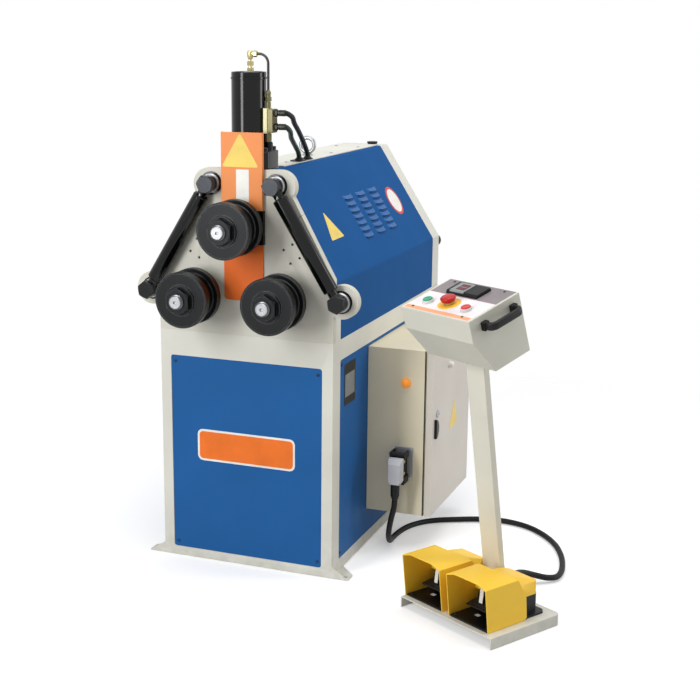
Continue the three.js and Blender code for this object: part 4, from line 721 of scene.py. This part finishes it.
# Tie bars and bolts, their rings as radius and height
PIN_DEPTH = -24
PIN_LOW, PIN_HIGH = (287.5, HEAD_BASE + 117.3), (97.6, HEAD_TOP - 42)
BAR_END = [(TIP, 33), (11, 33), (12, 34), (12, 37), (19.5, 38), (21.5, 40.5)]
BAR_PIN = [(13.8, 20), (13.8, 36), (TIP, 36), (TIP, 20), (13.8, 20)]
EYE_DEPTH, EYE = -5.6, ring(15.6, [(22, 7.2), (23, 8.4), (23, 20.2), (22, 21.4)])
NIPPLE = solid((3.6, -4), (3.6, 0), (2.4, 1.5), (2.4, 3.5), (1.2, 5))
NIPPLE_REACH, NIPPLE_OUT = 34, 12
BOLT_DEPTH, BOLT_FLATS, BOLT_HEIGHT = -27.3, 46, 18.7
BOLT_SHANK = [(15, 0), (15, -52.3), (TIP, -52.3), (TIP, 0), (15, 0)]
COLLAR_DEPTH, COLLAR = -3.4, ring(15.3, [(27.4, 0), (27.4, 6), (25, 9.2)])
SEAT_DEPTH, SEAT = -0.3, ring(15.3, [(31, 0), (32, 0.8), (32, 2.4), (31.4, 3)])
BOLT_LOOKS = {"lower": (8, BLACK_STEEL), "upper": (24, BOLT_STEEL)}


def tie_bar(side, a, b):
    length = (b - a).length
    m = at(*a, b - a)
    far_end = [(r, length - t) for r, t in BAR_END[::-1]]
    spins = [(m, BAR_END + far_end, 72), (m, BAR_PIN, 48), (m, [(r, length - t) for r, t in BAR_PIN], 48)]
    spins += [(at(p.x, EYE_DEPTH, p.z, TOWARDS), EYE, 72) for p in (a, b)]
    turned(side + "_tie_bar_turned", spins, GLOSS, (side + "_tie_bar",), angle=28)
    nipple = b + (a - b).normalized() * NIPPLE_REACH + Vector((0, -NIPPLE_OUT, 0))
    turned(side + "_grease_nipple", [(at(*nipple), NIPPLE, 20)], BRIGHT)


def bolt(side, level, x, z):
    turn, steel = BOLT_LOOKS[level]
    name, own = f"{side}_{level}", (x, 0, z)
    bm = bmesh.new()
    m = at(x, BOLT_DEPTH, z, TOWARDS) @ Matrix.Rotation(radians(turn), 4, "Z")
    nut_form(bm, m, BOLT_FLATS, BOLT_HEIGHT)
    spin(bm, m, BOLT_SHANK, 40)
    piece(name + "_bolt_turned", bm, steel, (name + "_bolt",), origin=own, angle=24)
    collar, seat = at(x, COLLAR_DEPTH, z, TOWARDS), at(x, SEAT_DEPTH, z, TOWARDS)
    turned(name + "_collar", [(collar, COLLAR, 72)], BRIGHT, origin=own)
    turned(name + "_seat", [(seat, SEAT, 72)], GLOSS, origin=own)


for side, way in SIDES.items():
    low, high = (Vector((way * x, PIN_DEPTH, z)) for x, z in (PIN_LOW, PIN_HIGH))
    tie_bar(side, low, high)
    bolt(side, "lower", low.x, low.z)
    bolt(side, "upper", high.x, high.z)

# Cabinet and head
from_cad("cabinet_frame", CREAM, 1.0)
from_cad("head_housing", HEAD_CREAM_SHADED, 1.2, angle=40)
for node in ("front_panel", "rear_panel", "left_panel", "right_panel"):
    from_cad(node, BLUE, 0.7)

SCREW_SHARES = ((0.545, 0.571), (0.446, 0.536), (0.624, 0.494), (0.523, 0.458))
SET_SCREW = solid((3.9, -4), (3.9, 0), (3.4, 0.6), (1.9, 0.6), (1.8, -2.4))
SET_SCREW_DEPTH = 3
set_screws = [(way * across * HALF, SET_SCREW_DEPTH, HEAD_BASE + rise * HEAD_HEIGHT)
              for way in SIDES.values() for across, rise in SCREW_SHARES]
turned("adjusting_screws", [(at(*spot, TOWARDS), SET_SCREW, 24) for spot in set_screws], BLACK_STEEL)
wire("scribed_line", [(149, 0, 1017), (172, 0, 1031), (197, 0, 1046)], 0.35, SIGN["black"])

FRONT_FACE, REAR_FACE = span("front_panel")[0][Y], span("rear_panel")[1][Y]
SIDE_FACE = span("right_panel")[1][X]
front_spots = [(x, z) for x in (-220, 220) for z in (44, 592)]
side_spots = [(y, z) for y in (75, 500, 925) for z in (52, 608)]
panel_spots = [((x, FRONT_FACE, z), TOWARDS) for x, z in front_spots]
panel_spots += [((SIDE_FACE, y, z), RIGHTWARDS) for y, z in side_spots]
panel_spots += [((-SIDE_FACE, y, z), LEFTWARDS) for y, z in side_spots]
panel_spots += [((x, REAR_FACE, z), BEHIND) for x, z in front_spots]
pan_screws("panel_screws", panel_spots, SCREW_BLUE, 3.6, 2.0)

# Hood
SHEET, FOLD_REACH = 2.5, 5
CABINET_TOP = span("cabinet_frame")[1][Z] + 0.4
HOOD_FRONT, HOOD_CORNER, HOOD_REAR = 25.3, 59.3, 930


def hood_profile(side):
    """Sheet with rounded folds, from the cabinet up over the slope to the lip."""
    outer = [Vector(p) for p in ((HALF, HEAD_BASE), FOLD, LIP, (60, HOOD_TOP))]
    path = [outer[0]]
    for before, fold, after in zip(outer, outer[1:], outer[2:]):
        p, q = (fold + (end - fold).normalized() * FOLD_REACH for end in (before, after))
        path += arc_between(p, fold, q, 5)
    path.append(outer[3])
    inner = []
    for i, p in enumerate(path):
        d = (Vector(path[min(i + 1, len(path) - 1)]) - Vector(path[max(i - 1, 0)])).normalized()
        inner.append(Vector(p) + Vector((-d.y, d.x)) * SHEET)
    return [(side * x, z) for x, z in path + inner[::-1]]


for side, way in SIDES.items():
    bm = bmesh.new()
    profile = hood_profile(way)
    prism(bm, profile, HOOD_CORNER, HOOD_REAR)
    above = [p for p in profile if p[1] > CABINET_TOP]
    above = [(way * HALF, CABINET_TOP), *above, (way * (HALF - SHEET), CABINET_TOP)]
    prism(bm, above, HOOD_FRONT, HOOD_CORNER)
    piece(f"hood_{side}_sheet", bm, HOOD_BLUE_SHADED, ("hood_" + side,), angle=30)

# Louvres, each a pressed lip over a black strip, painted shade of the slit under the lip
LOUVRE_ROWS, LOUVRE_PITCH, LOUVRE_FOOT = 7, 21.4, 84
LOUVRE_COLUMNS, LOUVRE_STEP, LOUVRE_START = 3, 109, 388
LOUVRE_LENGTH, LOUVRE_WIDTH, LOUVRE_RISE = 72, 13, 5.0


def louvre(bm, start, foot, steps=14, rows=6):
    """Skin of one louvre, whose ends slope down to the sheet."""
    grid = []
    for i in range(steps + 1):
        t = i / steps
        end = min(1.0, 4.2 * min(t, 1 - t))
        rise = LOUVRE_RISE * sqrt(max(0.0, 1 - (1 - end) ** 2))
        line = []
        for s in (j / rows for j in range(rows + 1)):
            up = foot + LOUVRE_WIDTH * s + (1 - end) * 3
            out = rise * (1 - s) ** 0.8 * (1 - 0.1 * s) + 0.02
            line.append(bm.verts.new((start + LOUVRE_LENGTH * t, up, out)))
        grid.append(line)
    for a, b in zip(grid, grid[1:]):
        for j in range(rows):
            bm.faces.new([a[j], b[j], b[j + 1], a[j + 1]])


bm, slit_shade = bmesh.new(), bmesh.new()
for row in range(LOUVRE_ROWS):
    for column in range(LOUVRE_COLUMNS):
        foot, start = LOUVRE_FOOT + row * LOUVRE_PITCH, LOUVRE_START + column * LOUVRE_STEP
        louvre(bm, start, foot)
        prism(slit_shade, rounded(start + 5, start + 67, foot - 0.6, foot + 6, 1.5, 3), 0.0, 0.12, "Z")
bmesh.ops.solidify(bm, geom=bm.faces[:], thickness=-0.9)
bm.transform(SLOPE)
slit_shade.transform(SLOPE)
piece("louvres", bm, LOUVRE_BLUE_HIGHLIT, angle=50)
# the black strips are painted shade inside the slits
piece("louvre_slit_shade", slit_shade, SIGN["black"], slot="black_plastic")

# Covers, knob, breather cap and lifting eye on the hood
from_cad("top_cover", CREAM, 0.8)
from_cad("rear_cap", CREAM, 1.6)
cover_spots = [(34, 222), (43, 803), (-37, 817), (-43, 240), (43, 560), (-43, 560)]
pan_screws("cover_screws", [((x, y, COVER_TOP), UPWARDS) for x, y in cover_spots], BRIGHT, 4.2, 2.4)
KNOB = solid((11, 0), (11, 2), (8, 3), (8, 10), (14, 10.6), (19, 12), (20.5, 15), (20.5, 32), (18.5, 38),
             (13, 41), (6, 42))
CAP = solid((15, 0), (15, 3), (17.5, 4), (17.5, 8.2), (16.4, 9.6), (12, 10))
EYE_FOOT = solid((15, 0), (15, 2.5), (12, 5), (9.6, 9))
EYE_RADIUS, EYE_BAR, EYE_RISE, EYE_AROUND, EYE_ACROSS = 21.5, 6, 30.5, 56, 16
turned("rear_knob_turned", [(seat_of("rear_knob", BEHIND), KNOB, 64)], PLASTIC, ("rear_knob",), angle=28)
turned("breather_turned", [(seat_of("breather_cap", UPWARDS), CAP, 48)], PLASTIC, ("breather_cap",))
eye_place = seat_of("lifting_eye", UPWARDS)
bm = bmesh.new()
spin(bm, eye_place, EYE_FOOT, 48)
loop = []
for along, up in circle(EYE_AROUND):
    reaches = [(EYE_RADIUS + EYE_BAR * c, EYE_BAR * s) for c, s in circle(EYE_ACROSS)]
    around = [eye_place @ Vector((reach * along, out, EYE_RISE + reach * up)) for reach, out in reaches]
    loop.append([bm.verts.new(v) for v in around])
bridge(bm, loop, closed=True)
piece("lifting_eye_forged", bm, BRIGHT, ("lifting_eye",))

# Blank plates where signs sit
cover_face = STICKER - span("ram_cover_upper")[0][Y]
door_face = span("electric_door")[1][X]
DOOR_SKIN = 463.1
plate("front_plate_rim", soft_corners(rounded(-152, 152, 303, 397, 16, 3), 1, 1), FRONT, -FRONT_FACE, 0.9,
      SIGN["white"])
plate("front_plate_face", rounded(-146, 146, 309, 391, 12, 5), FRONT, 0.9 - FRONT_FACE, 0.4, SIGN["orange"])
slope_triangle = [(147, 113), (246, 114), (191, 200)]
plate("slope_plate", soft_corners(slope_triangle, 4), SLOPE, STICKER, 0.5, SIGN["yellow"])
plate("slope_disc_rim", disc(778, 163, 50), SLOPE, STICKER, 0.5, SIGN["red"])
plate("slope_disc_face", disc(778, 163, 41), SLOPE, STICKER + 0.5, 0.2, SIGN["white"])
plate("side_plate", rounded(97, 188, 482, 604, 4, 4), RIGHT, SIDE_FACE + STICKER, 0.6, SIGN["black"])
plate("side_plate_field", rounded(104, 181, 506, 572, 2, 3), RIGHT, SIDE_FACE + 0.66, 0.1, ALUMINIUM, bevel=0)
plate("door_plate", soft_corners([(480, 332), (570, 337), (531, 418)], 4), RIGHT, DOOR_SKIN + STICKER, 0.5,
      SIGN["yellow"], body="enclosure_door")
plate("cover_plate", soft_corners([(-59, 1156), (51, 1156), (-4, 1248)], 5), FRONT, cover_face, 0.5,
      SIGN["yellow"], body="ram_unit", slot="orange_paint")
plate("cover_label", rounded(-16, 22, 1062, 1150, 2, 3), FRONT, cover_face, 0.4, SIGN["white"],
      body="ram_unit", slot="orange_paint")

# Ram and its covers
from_cad("ram", BLACK_STEEL, 1.2, body="ram_unit")
from_cad("ram_cover_upper", ORANGE_LIT, 1.1, 3, "ram_unit")
from_cad("ram_cover_lower", ORANGE, 0.7, body="ram_unit")
CYLINDER_DEPTH = middle("cylinder", Y)
ROD = solid((25, 0), (25, 225), (38.5, 225), (38.5, 265))
rod_place = at(0, CYLINDER_DEPTH, span("piston_rod")[0][Z])
turned("piston_rod_ground", [(rod_place, ROD, 48)], BRIGHT, ("piston_rod",), body="ram_unit")

# Cylinder, as radius and height above its foot
FOOT = span("cylinder")[0][Z]
FLANGE_TOP = FOOT + 48
BARREL = solid((49, 0), (49, 49.4), (48, 69), (48, 237.6), (47.2, 238), (47.2, 238.6), (49.6, 239),
               (49.6, 245.2), (47.2, 245.6), (47.2, 246.2), (48, 246.6), (48, 257), (46.4, 259), (41, 259),
               (40.4, 257.8), (16, 257.8), (15, 258.8))
SOCKET_HEAD = solid((9, 0), (9, 9), (8.2, 10), (4.6, 10), (4.6, 4))
FLANGE_PLUG = solid((11, 0), (11, 20), (9, 24))
turned("cylinder_barrel", [(at(0, CYLINDER_DEPTH, FOOT), BARREL, 112)], GLOSS, ("cylinder",),
       origin=(0, CYLINDER_DEPTH, 0), angle=30)
drawn("cylinder_flange", rounded(-72, 72, 0, 84, 14, 10), FOOT, FLANGE_TOP, "Z", GLOSS, bevel=3, segments=4)
flange_heads = [(at(x, y, FLANGE_TOP), SOCKET_HEAD, 32) for x in (-57, 57) for y in (14, 70)]
flange_heads.append((at(58, 41, FLANGE_TOP), FLANGE_PLUG, 40))
turned("flange_screws", flange_heads, BLACK_STEEL)

# Elbow, pipe, valve and hose ends
ELBOW_X, DROP_X, PIPE_Z = 5, 57.5, 1456.6
PIPE_RADIUS, PIPE_BEND = 3.6, 26
VALVE_FRONT, VALVE_BACK = (corner[Y] for corner in span("valve_block"))
VALVE_LEFT, VALVE_SPLIT, VALVE_RIGHT = 48.6, 61, 77
ELBOW = [(TIP, 0), (4.6, 0), (4.6, 5), (7, 7), (8.4, 12), (9, 19.6), (8, 26), (5, 28.4), (TIP, 28.9)]
DROP_FOOT = solid((7.2, 0), (7.2, 15), (5.4, 16), (5.4, 18))
DROP_HEAD = solid((6.6, 0), (6.6, 6), (7.4, 8), (7.4, 12), (4.4, 17.6))
HOSE_END = solid((6, 0), (6, 3), (8.6, 4), (8.6, 9), (8.0, 9.6), (8.0, 11), (8.6, 11.6), (8.6, 15),
                 (8.0, 15.6), (8.0, 17), (8.6, 17.6), (8.6, 21.4), (7.4, 22.4))
GROMMET = [(7.2, 0), (12, 0), (12, 2.4), (10.6, 4), (8.4, 7), (7.2, 8), (7.2, 0)]


def fittings(name, parts, material, stands_for=(), **more):
    """Piece made of hexagons (flats, height) and turned parts (profile, sides), each with its place."""
    bm = bmesh.new()
    for m, first, second in parts:
        if isinstance(first, list):
            spin(bm, m, first, second)
        else:
            nut_form(bm, m, first, second, both=True)
    return piece(name, bm, material, stands_for, angle=26, **more)


def on_elbow(z):
    return at(ELBOW_X, CYLINDER_DEPTH, z)


def on_drop(z):
    return at(DROP_X, CYLINDER_DEPTH, z)

def on_pipe(x, z=PIPE_Z):
    return at(x, CYLINDER_DEPTH, z, RIGHTWARDS)


elbow_parts = [(on_elbow(1410), 16, 10), (on_elbow(1420), bar(5, 0, 5), 24), (on_elbow(1425), 15.6, 12),
               (on_elbow(1437), ELBOW, 36), (on_pipe(8), bar(6.4, 0, 9), 32), (on_pipe(15), 15.4, 10)]
fittings("cylinder_elbow", elbow_parts, BRASS, ("pressure_pipe",), origin=(ELBOW_X, CYLINDER_DEPTH, 1420))
pipe_path = [(20, CYLINDER_DEPTH, PIPE_Z)]
for a in (pi / 2 * i / 10 for i in range(11)):
    pipe_path.append((DROP_X - PIPE_BEND * (1 - sin(a)), CYLINDER_DEPTH, PIPE_Z - PIPE_BEND * (1 - cos(a))))
pipe_path.append((DROP_X, CYLINDER_DEPTH, 1340))
wire("pressure_pipe_bent", pipe_path, PIPE_RADIUS, PIPE)
drop_parts = [(on_drop(1313.6), DROP_FOOT, 32), (on_drop(1331), 15.4, 12), (on_drop(1343), DROP_HEAD, 32),
              (on_drop(1223), 15.4, 22)]
fittings("valve_fittings", drop_parts, OLIVE, origin=(DROP_X, CYLINDER_DEPTH, 1320))
hose_ends = []
for z in (1300.3, 1263.3):
    hose_ends += [(on_pipe(VALVE_RIGHT, z), 17.2, 9), (on_pipe(VALVE_RIGHT + 9, z), HOSE_END, 40)]
fittings("hose_ferrules", hose_ends, FERRULE)


block("valve_plate", (VALVE_LEFT, VALVE_SPLIT, VALVE_FRONT, VALVE_BACK, 1245.3, 1313.3), CREAMY,
      ("valve_block",), bevel=1.2, segments=3)
block("valve_body", (VALVE_SPLIT + 0.1, VALVE_RIGHT, VALVE_FRONT, VALVE_BACK, 1247.4, 1311.2), OLIVE,
      bevel=1.6, segments=3)
(inlet_left, inlet_front, inlet_low), (inlet_right, inlet_rear, inlet_high) = span("hose_inlet")
drawn("hose_inlet_plate", rounded(inlet_left, inlet_right, inlet_front, inlet_rear, 8, 6), inlet_low,
      inlet_high, "Z", PLASTIC, ("hose_inlet",), slot="black_steel", bevel=0.8)
turned("hose_grommets", [(at(x, y, inlet_high), GROMMET, 40) for x, y in ((58, 325), (54, 269))], RUBBER)

# Electric enclosure and its door
LOCK = (DOOR_SKIN, 350.3, 416)
from_cad("electric_box", BOX_COAT_SHADE_LIFTED, 1.6, 3)
from_cad("electric_door", DOOR_COAT_LIT, 1.6, 3, "enclosure_door", trim_x=DOOR_SKIN)
half_turn = [radians(180 * i / 24 - 90) for i in range(25)]
half_moon = [(322 + 27 * cos(t), 375.6 + 29.6 * sin(t)) for t in half_turn]
drawn("door_pull", half_moon, DOOR_SKIN + STICKER, door_face, "X", PLASTIC, body="enclosure_door", bevel=2.2,
      segments=3)
# A rubber strip on the box beside the door: partly its gasket, partly painted shade of the seam
block("door_gasket_seam_shade", (437.4, 441, 298.5, 299.3, 112, 614.5), RUBBER, bevel=0.2)
BOSS = [(TIP, 0), (11, 0), (11, 1.6), (9.6, 2), (9.6, 8), (8.6, 11), (6, 13), (3, 13.7), (TIP, 13.8)]
turned("door_boss", [(at(463.05, 466, 541, RIGHTWARDS), BOSS, 44)], SIGN["white"], body="enclosure_door",
       slot="grey_plastic")
bm = bmesh.new()
spin(bm, at(*LOCK, RIGHTWARDS), solid((11, 0), (11, 2.4), (9.8, 3.8), (8, 4.3)), 48)
spin(bm, at(452, *LOCK[1:], RIGHTWARDS), bar(8, 0, 11.2), 32)
box(bm, 457.7, 460.7, 332.3, 354.3, 412, 420)
piece("door_lock_turned", bm, BRIGHT, ("door_lock",), "door_latch", origin=LOCK, angle=28)
# A black strip on the lock's face: painted shade of its key slot
block("lock_slot_shade", (467.2, 467.5, 343, 357.6, 415, 417), SIGN["black"], body="door_latch",
      slot="black_plastic")

# Lamp, socket and plug on the enclosure
LENS_PROFILE = [(TIP, 0), (15, 0), (15, 2.4), (13.8, 4.2), (11.4, 4.6), (11.2, 6.2), (10.4, 9.4), (8.2, 12),
                (5, 13.6), (TIP, 14.1)]
turned("lamp_lens", [(seat_of("pilot_lamp", TOWARDS), LENS_PROFILE, 48)], LENS, ("pilot_lamp",))
block("socket_base", (352, 407.5, 295, 298.9, 228, 320), SOCKET_METAL, ("socket_housing",), bevel=1.2,
      segments=3)
bm = bmesh.new()
prism(bm, rounded(358, 391, 233, 303, 5, 5), 281, 295.1)
for low, high in ((304.5, 315), (218.5, 227)):
    box(bm, 350, 397, 246, 257, low, high)
    for x in (350, 391.5):
        box(bm, x, x + 5.5, 250, 290, min(low, 294), max(high, 241))
piece("socket_levers", bm, PLASTIC, bevel=2, segments=3)
socket_spots = [((379.7 + a, 295, 274 + b), TOWARDS) for a in (-23, 23) for b in (-41.5, 41.5)]
pan_screws("socket_screws", socket_spots, BRIGHT, 2.6, 1.6)
PEG = solid((4.6, -1), (4.6, 2.6), (3.6, 4))
pegs = [(at(x, 262, z, out), PEG, 24) for x, out in ((390, RIGHTWARDS), (358, LEFTWARDS)) for z in (250, 286)]
turned("latch_pegs", pegs, BRASS)

PLUG_X = middle("cable_plug", X)
HOOD_RINGS = ((213.5, 18.5, 288, 227, 9), (222, 21.5, 301, 223.5, 12), (240, 21.5, 303, 223.5, 12))
bm = bmesh.new()
rings = []
for y, side, top, low, cut in HOOD_RINGS:
    corners = [(-side, top), (side, top), (side, low + cut), (side - cut * 0.6, low), (cut * 0.6 - side, low),
               (-side, low + cut)]
    rings.append([bm.verts.new((PLUG_X + a, y, b)) for a, b in corners])
bridge(bm, rings)
bm.faces.new(rings[0])
bm.faces.new(rings[-1])
piece("plug_hood", bm, PLUG_GREY, ("cable_plug",), bevel=1.6, segments=3, angle=15)
drawn("plug_frame", rounded(358.5, 390, 229, 301.5, 4, 4), 240.05, 280.9, "Y", PLASTIC, bevel=1.2)
SLEEVE = solid((13, 226), (13, 190), (12.4, 188.4), (11.2, 187.6), (10.2, 181), (9.2, 179.9))
turned("plug_sleeve", [(at(PLUG_X, CABLE[0][1], 0), SLEEVE, 44)], RUBBER, angle=28)

# Control pedestal
from_cad("pedestal_base", CREAM, 1.3, 3)
from_cad("pedestal_post", POST, 2.6, 4)
GLAND_FLATS, GLAND_HEIGHT = 25, 8
GLAND = solid((11.4, 0), (11.8, 3), (11, 8), (9.6, 12), (8.9, 13.4))
bm = bmesh.new()
nut_form(bm, at(-15, 208.6, 66, BEHIND), GLAND_FLATS, GLAND_HEIGHT, both=True)
spin(bm, at(-15, 208.6 + GLAND_HEIGHT, 66, BEHIND), GLAND, 40)
piece("post_gland", bm, PLASTIC, place=STAND, angle=28)
BOX_SIDE = [(0, 0), (178, 0), (178, -160), (54, -160), (0, -60)]
drawn("control_box_folded", BOX_SIDE, -121, 121, "X", CBOX, ("control_box",), place=PANEL, bevel=1.6,
      segments=3, angle=20)


# Control panel, flat on the pedestal's sloped face
def foil(name, outline, depth, thick, material, bevel=0):
    plate(name, outline, FLAT, depth, thick, material, place=PANEL, bevel=bevel)


def on_panel(name, spins, material, stands_for=(), **more):
    turned(name, spins, material, stands_for, place=PANEL, **more)


def case(name, outline, left, right, material, bevel):
    drawn(name, outline, left, right, "X", material, place=PANEL, bevel=bevel, segments=3)


foil("panel_sheet", rounded(-115, 115, 3, 175, 2, 3), STICKER, 0.4, PANEL_WHITE, bevel=0.25)
foil("panel_band", rounded(-113, 113, 4, 19, 1, 2), 0.45, 0.15, BAND_ORANGE)
foil("panel_rear_field", rounded(-115, 115, 100, 175, 1, 2), 0.45, 0.15, SIGN["mauve"])
foil("panel_line", rounded(-115, 115, 98.4, 100, 0.4, 2), 0.45, 0.18, LINE_PINK)
corner_spots = [((x, y, 0.6), UPWARDS) for x in (-91, 84) for y in (15, 165)]
pan_screws("panel_corner_screws", corner_spots, BLACK_STEEL, 2.4, 1.6, PANEL)
case("display_case", [(104, 0.4), (104, 5), (109, 9.6), (158, 9.6), (158, 0.4)], -62, 46, PLASTIC, 1.8)
case("display_raised_end", [(106, 6), (106, 9), (109, 11.4), (153, 11.4), (153, 6)], -50, -1, FRAME_GREY, 1.4)
foil("display_window", rounded(-36, -6, 115, 145, 1, 2), 11.42, 0.3, WINDOW)
foil("display_rows", rounded(-33, -9, 129, 131, 0.5, 2), 11.73, 0.1, FRAME_GREY)

BEZEL = [(12.5, 0), (15, 0), (15, 5.6), (14.2, 7.4), (13.4, 7.6), (12.5, 7.2), (12.5, 0)]
BUTTON = [(TIP, 5.3), (11.9, 5.3), (12, 9.6), (11.3, 10.6), (9.6, 11), (8.4, 10.6), (TIP, 10.4)]
BUTTONS = {"start": (-69, 48, GREEN), "stop": (65, 49, SOFT_RED)}
for name, (x, y, colour) in BUTTONS.items():
    on_panel(name + "_bezel", [(at(x, y, 0.5), BEZEL, 56)], PALE)
    cap = [(at(x, y, 0), BUTTON, 56), (at(x, y, 0), bar(8, -22, 5.4), 24)]
    on_panel(name + "_button_cap", cap, colour, (name + "_button",), body=name + "_key")

STOP = (-5, 59)
STOP_RING = ring(9.6, [(30, 0), (30, 0.6), (29, 1.2)])
STOP_COLLAR = ring(9.4, [(14.8, 0), (14.8, 1.2), (14, 1.6), (14, 5.4), (13.2, 6)])
MUSHROOM = [(TIP, -24), (9, -24), (9, 14.4), (15.2, 14.4), (15.2, 8.8), (16, 8.4), (18, 10.6), (19.6, 14.2),
            (19.9, 16.4), (19.2, 18.8), (16.6, 20.8), (11, 21.8), (TIP, 22)]
on_panel("stop_ring", [(at(*STOP, 0.5), STOP_RING, 64)], RING_YELLOW)
on_panel("stop_collar", [(at(*STOP, 1.6), STOP_COLLAR, 64)], BRASS)
on_panel("emergency_mushroom", [(at(*STOP, 0), MUSHROOM, 72)], RED, ("emergency_stop",), body="stop_mushroom",
         angle=50)


# Grab handle at the panel's right edge
def sweep(bm, points, wide, high, n=24, power=3.2):
    """Bar of a squarish oval section along points that lie level in the frame."""
    rings = []
    for i, p in enumerate(points):
        t = (Vector(points[min(i + 1, len(points) - 1)]) - Vector(points[max(i - 1, 0)])).normalized()
        side = t.cross(Vector(UPWARDS))
        line = []
        for c, s in circle(n):
            k = (abs(c) ** power + abs(s) ** power) ** (-1 / power)
            across, up = wide / 2 * c * k, high / 2 * s * k
            line.append(bm.verts.new(Vector(p) + side * across + Vector((0, 0, up))))
        rings.append(line)
    bridge(bm, rings)
    bm.faces.new(rings[0])
    bm.faces.new(rings[-1])


HANDLE_LEFT, HANDLE_RIGHT, HANDLE_DEPTH, HANDLE_BEND = 121.3, 153.3, -28, 14
HANDLE_ENDS = (44, 145)
HANDLE_WIDE, HANDLE_HIGH, FOOT_HALF = 14, 20, 9
quarter = [radians(90 * i / 8) for i in range(9)]
corner_x, corner_y = HANDLE_RIGHT - HANDLE_BEND, HANDLE_ENDS[0] + HANDLE_BEND
grip = [(HANDLE_LEFT, HANDLE_ENDS[0], HANDLE_DEPTH)]
grip += [(corner_x + HANDLE_BEND * sin(t), corner_y - HANDLE_BEND * cos(t), HANDLE_DEPTH) for t in quarter]
grip += [(x, sum(HANDLE_ENDS) - y, z) for x, y, z in grip[::-1]]
bm = bmesh.new()
sweep(bm, grip, HANDLE_WIDE, HANDLE_HIGH)
for y in HANDLE_ENDS:
    box(bm, HANDLE_LEFT, 134, y - FOOT_HALF, y + FOOT_HALF, -39, -17)
piece("grab_handle_moulded", bm, PLASTIC, ("grab_handle",), place=PANEL, bevel=0.8)


# Pedals, each in its own frame on the pedestal's foot
def dome(p):
    """True on the housing behind a pedal guard."""
    q = STAND.inverted() @ MACHINE @ p
    return q.y > 123 and q.z > 117


PEDAL_PLACES = {"left": -99, "right": 69}
PIVOT = (106, 71.3)
PEDAL_SLOPE = radians(8)
TREAD = [(48.6, 63.2), (106, 68.8), (108.5, 68.8), (108.5, 76.3), (106, 76.3), (48.6, 68.2)]
ARM = [(66, 69.8), (72, 70.6), (78, 117.3), (72, 117.3)]
STRIPE = [(66.5, 74), (71.7, 115.5), (71.3, 115.5), (66.1, 74)]
RIB = ((-1.6, -0.6), (1.6, -0.1), (0.8, 1.3), (-0.8, 1.1))
RIBS, RIB_START, RIB_PITCH, RIB_LIFT, RIB_HALF = 7, 8, 7, 4.9, 36
BASE_TOP = 36.35


def pedal(side, unit):
    body = side + "_foot_pedal"
    bm = bmesh.new()
    prism(bm, TREAD, -42, 42, "X")
    prism(bm, ARM, -16, 0, "X")
    spin(bm, at(0, *PIVOT, RIGHTWARDS), bar(5, -48, 48), 32)
    piece(side + "_pedal_pressed", bm, PLASTIC, (side + "_pedal",), body, place=unit, bevel=0.9)
    bm = bmesh.new()
    for reach in (RIB_START + i * RIB_PITCH for i in range(RIBS)):
        y = PIVOT[0] - reach * cos(PEDAL_SLOPE)
        z = PIVOT[1] - reach * sin(PEDAL_SLOPE) + RIB_LIFT
        prism(bm, [(y + a, z + b) for a, b in RIB], -RIB_HALF, RIB_HALF, "X")
    piece(side + "_tread_ribs", bm, PLASTIC, body=body, place=unit)
    drawn(side + "_pedal_stripe", STRIPE, -14, -2, "X", SIGN["white"], body=body, slot="grey_plastic",
          place=unit)


for side, across in PEDAL_PLACES.items():
    unit = STAND @ Matrix.Translation((across, 0, 0))
    from_cad(side + "_pedal_guard", YELLOW, 0.9, 3, soft=dome, radius=9)
    from_cad(side + "_pedal_switch", PLASTIC, 1.4, 3)
    pedal(side, unit)
    plate(side + "_base_tab", rounded(-25, -11, 62, 74, 1, 2), FLAT, BASE_TOP, 0.3, SIGN["white"], bevel=0,
          slot="grey_plastic", place=unit)
    base_spots = [((x, y, BASE_TOP + STICKER), UPWARDS) for x in (-58, 58) for y in (26, 150)]
    pan_screws(side + "_base_screws", base_spots, BLACK_STEEL, 3, 2, unit)

# Drive and power pack, behind the panels
from_cad("gearmotor", GREY, 3, 3)
from_cad("power_pack", GREY, 3, 3)
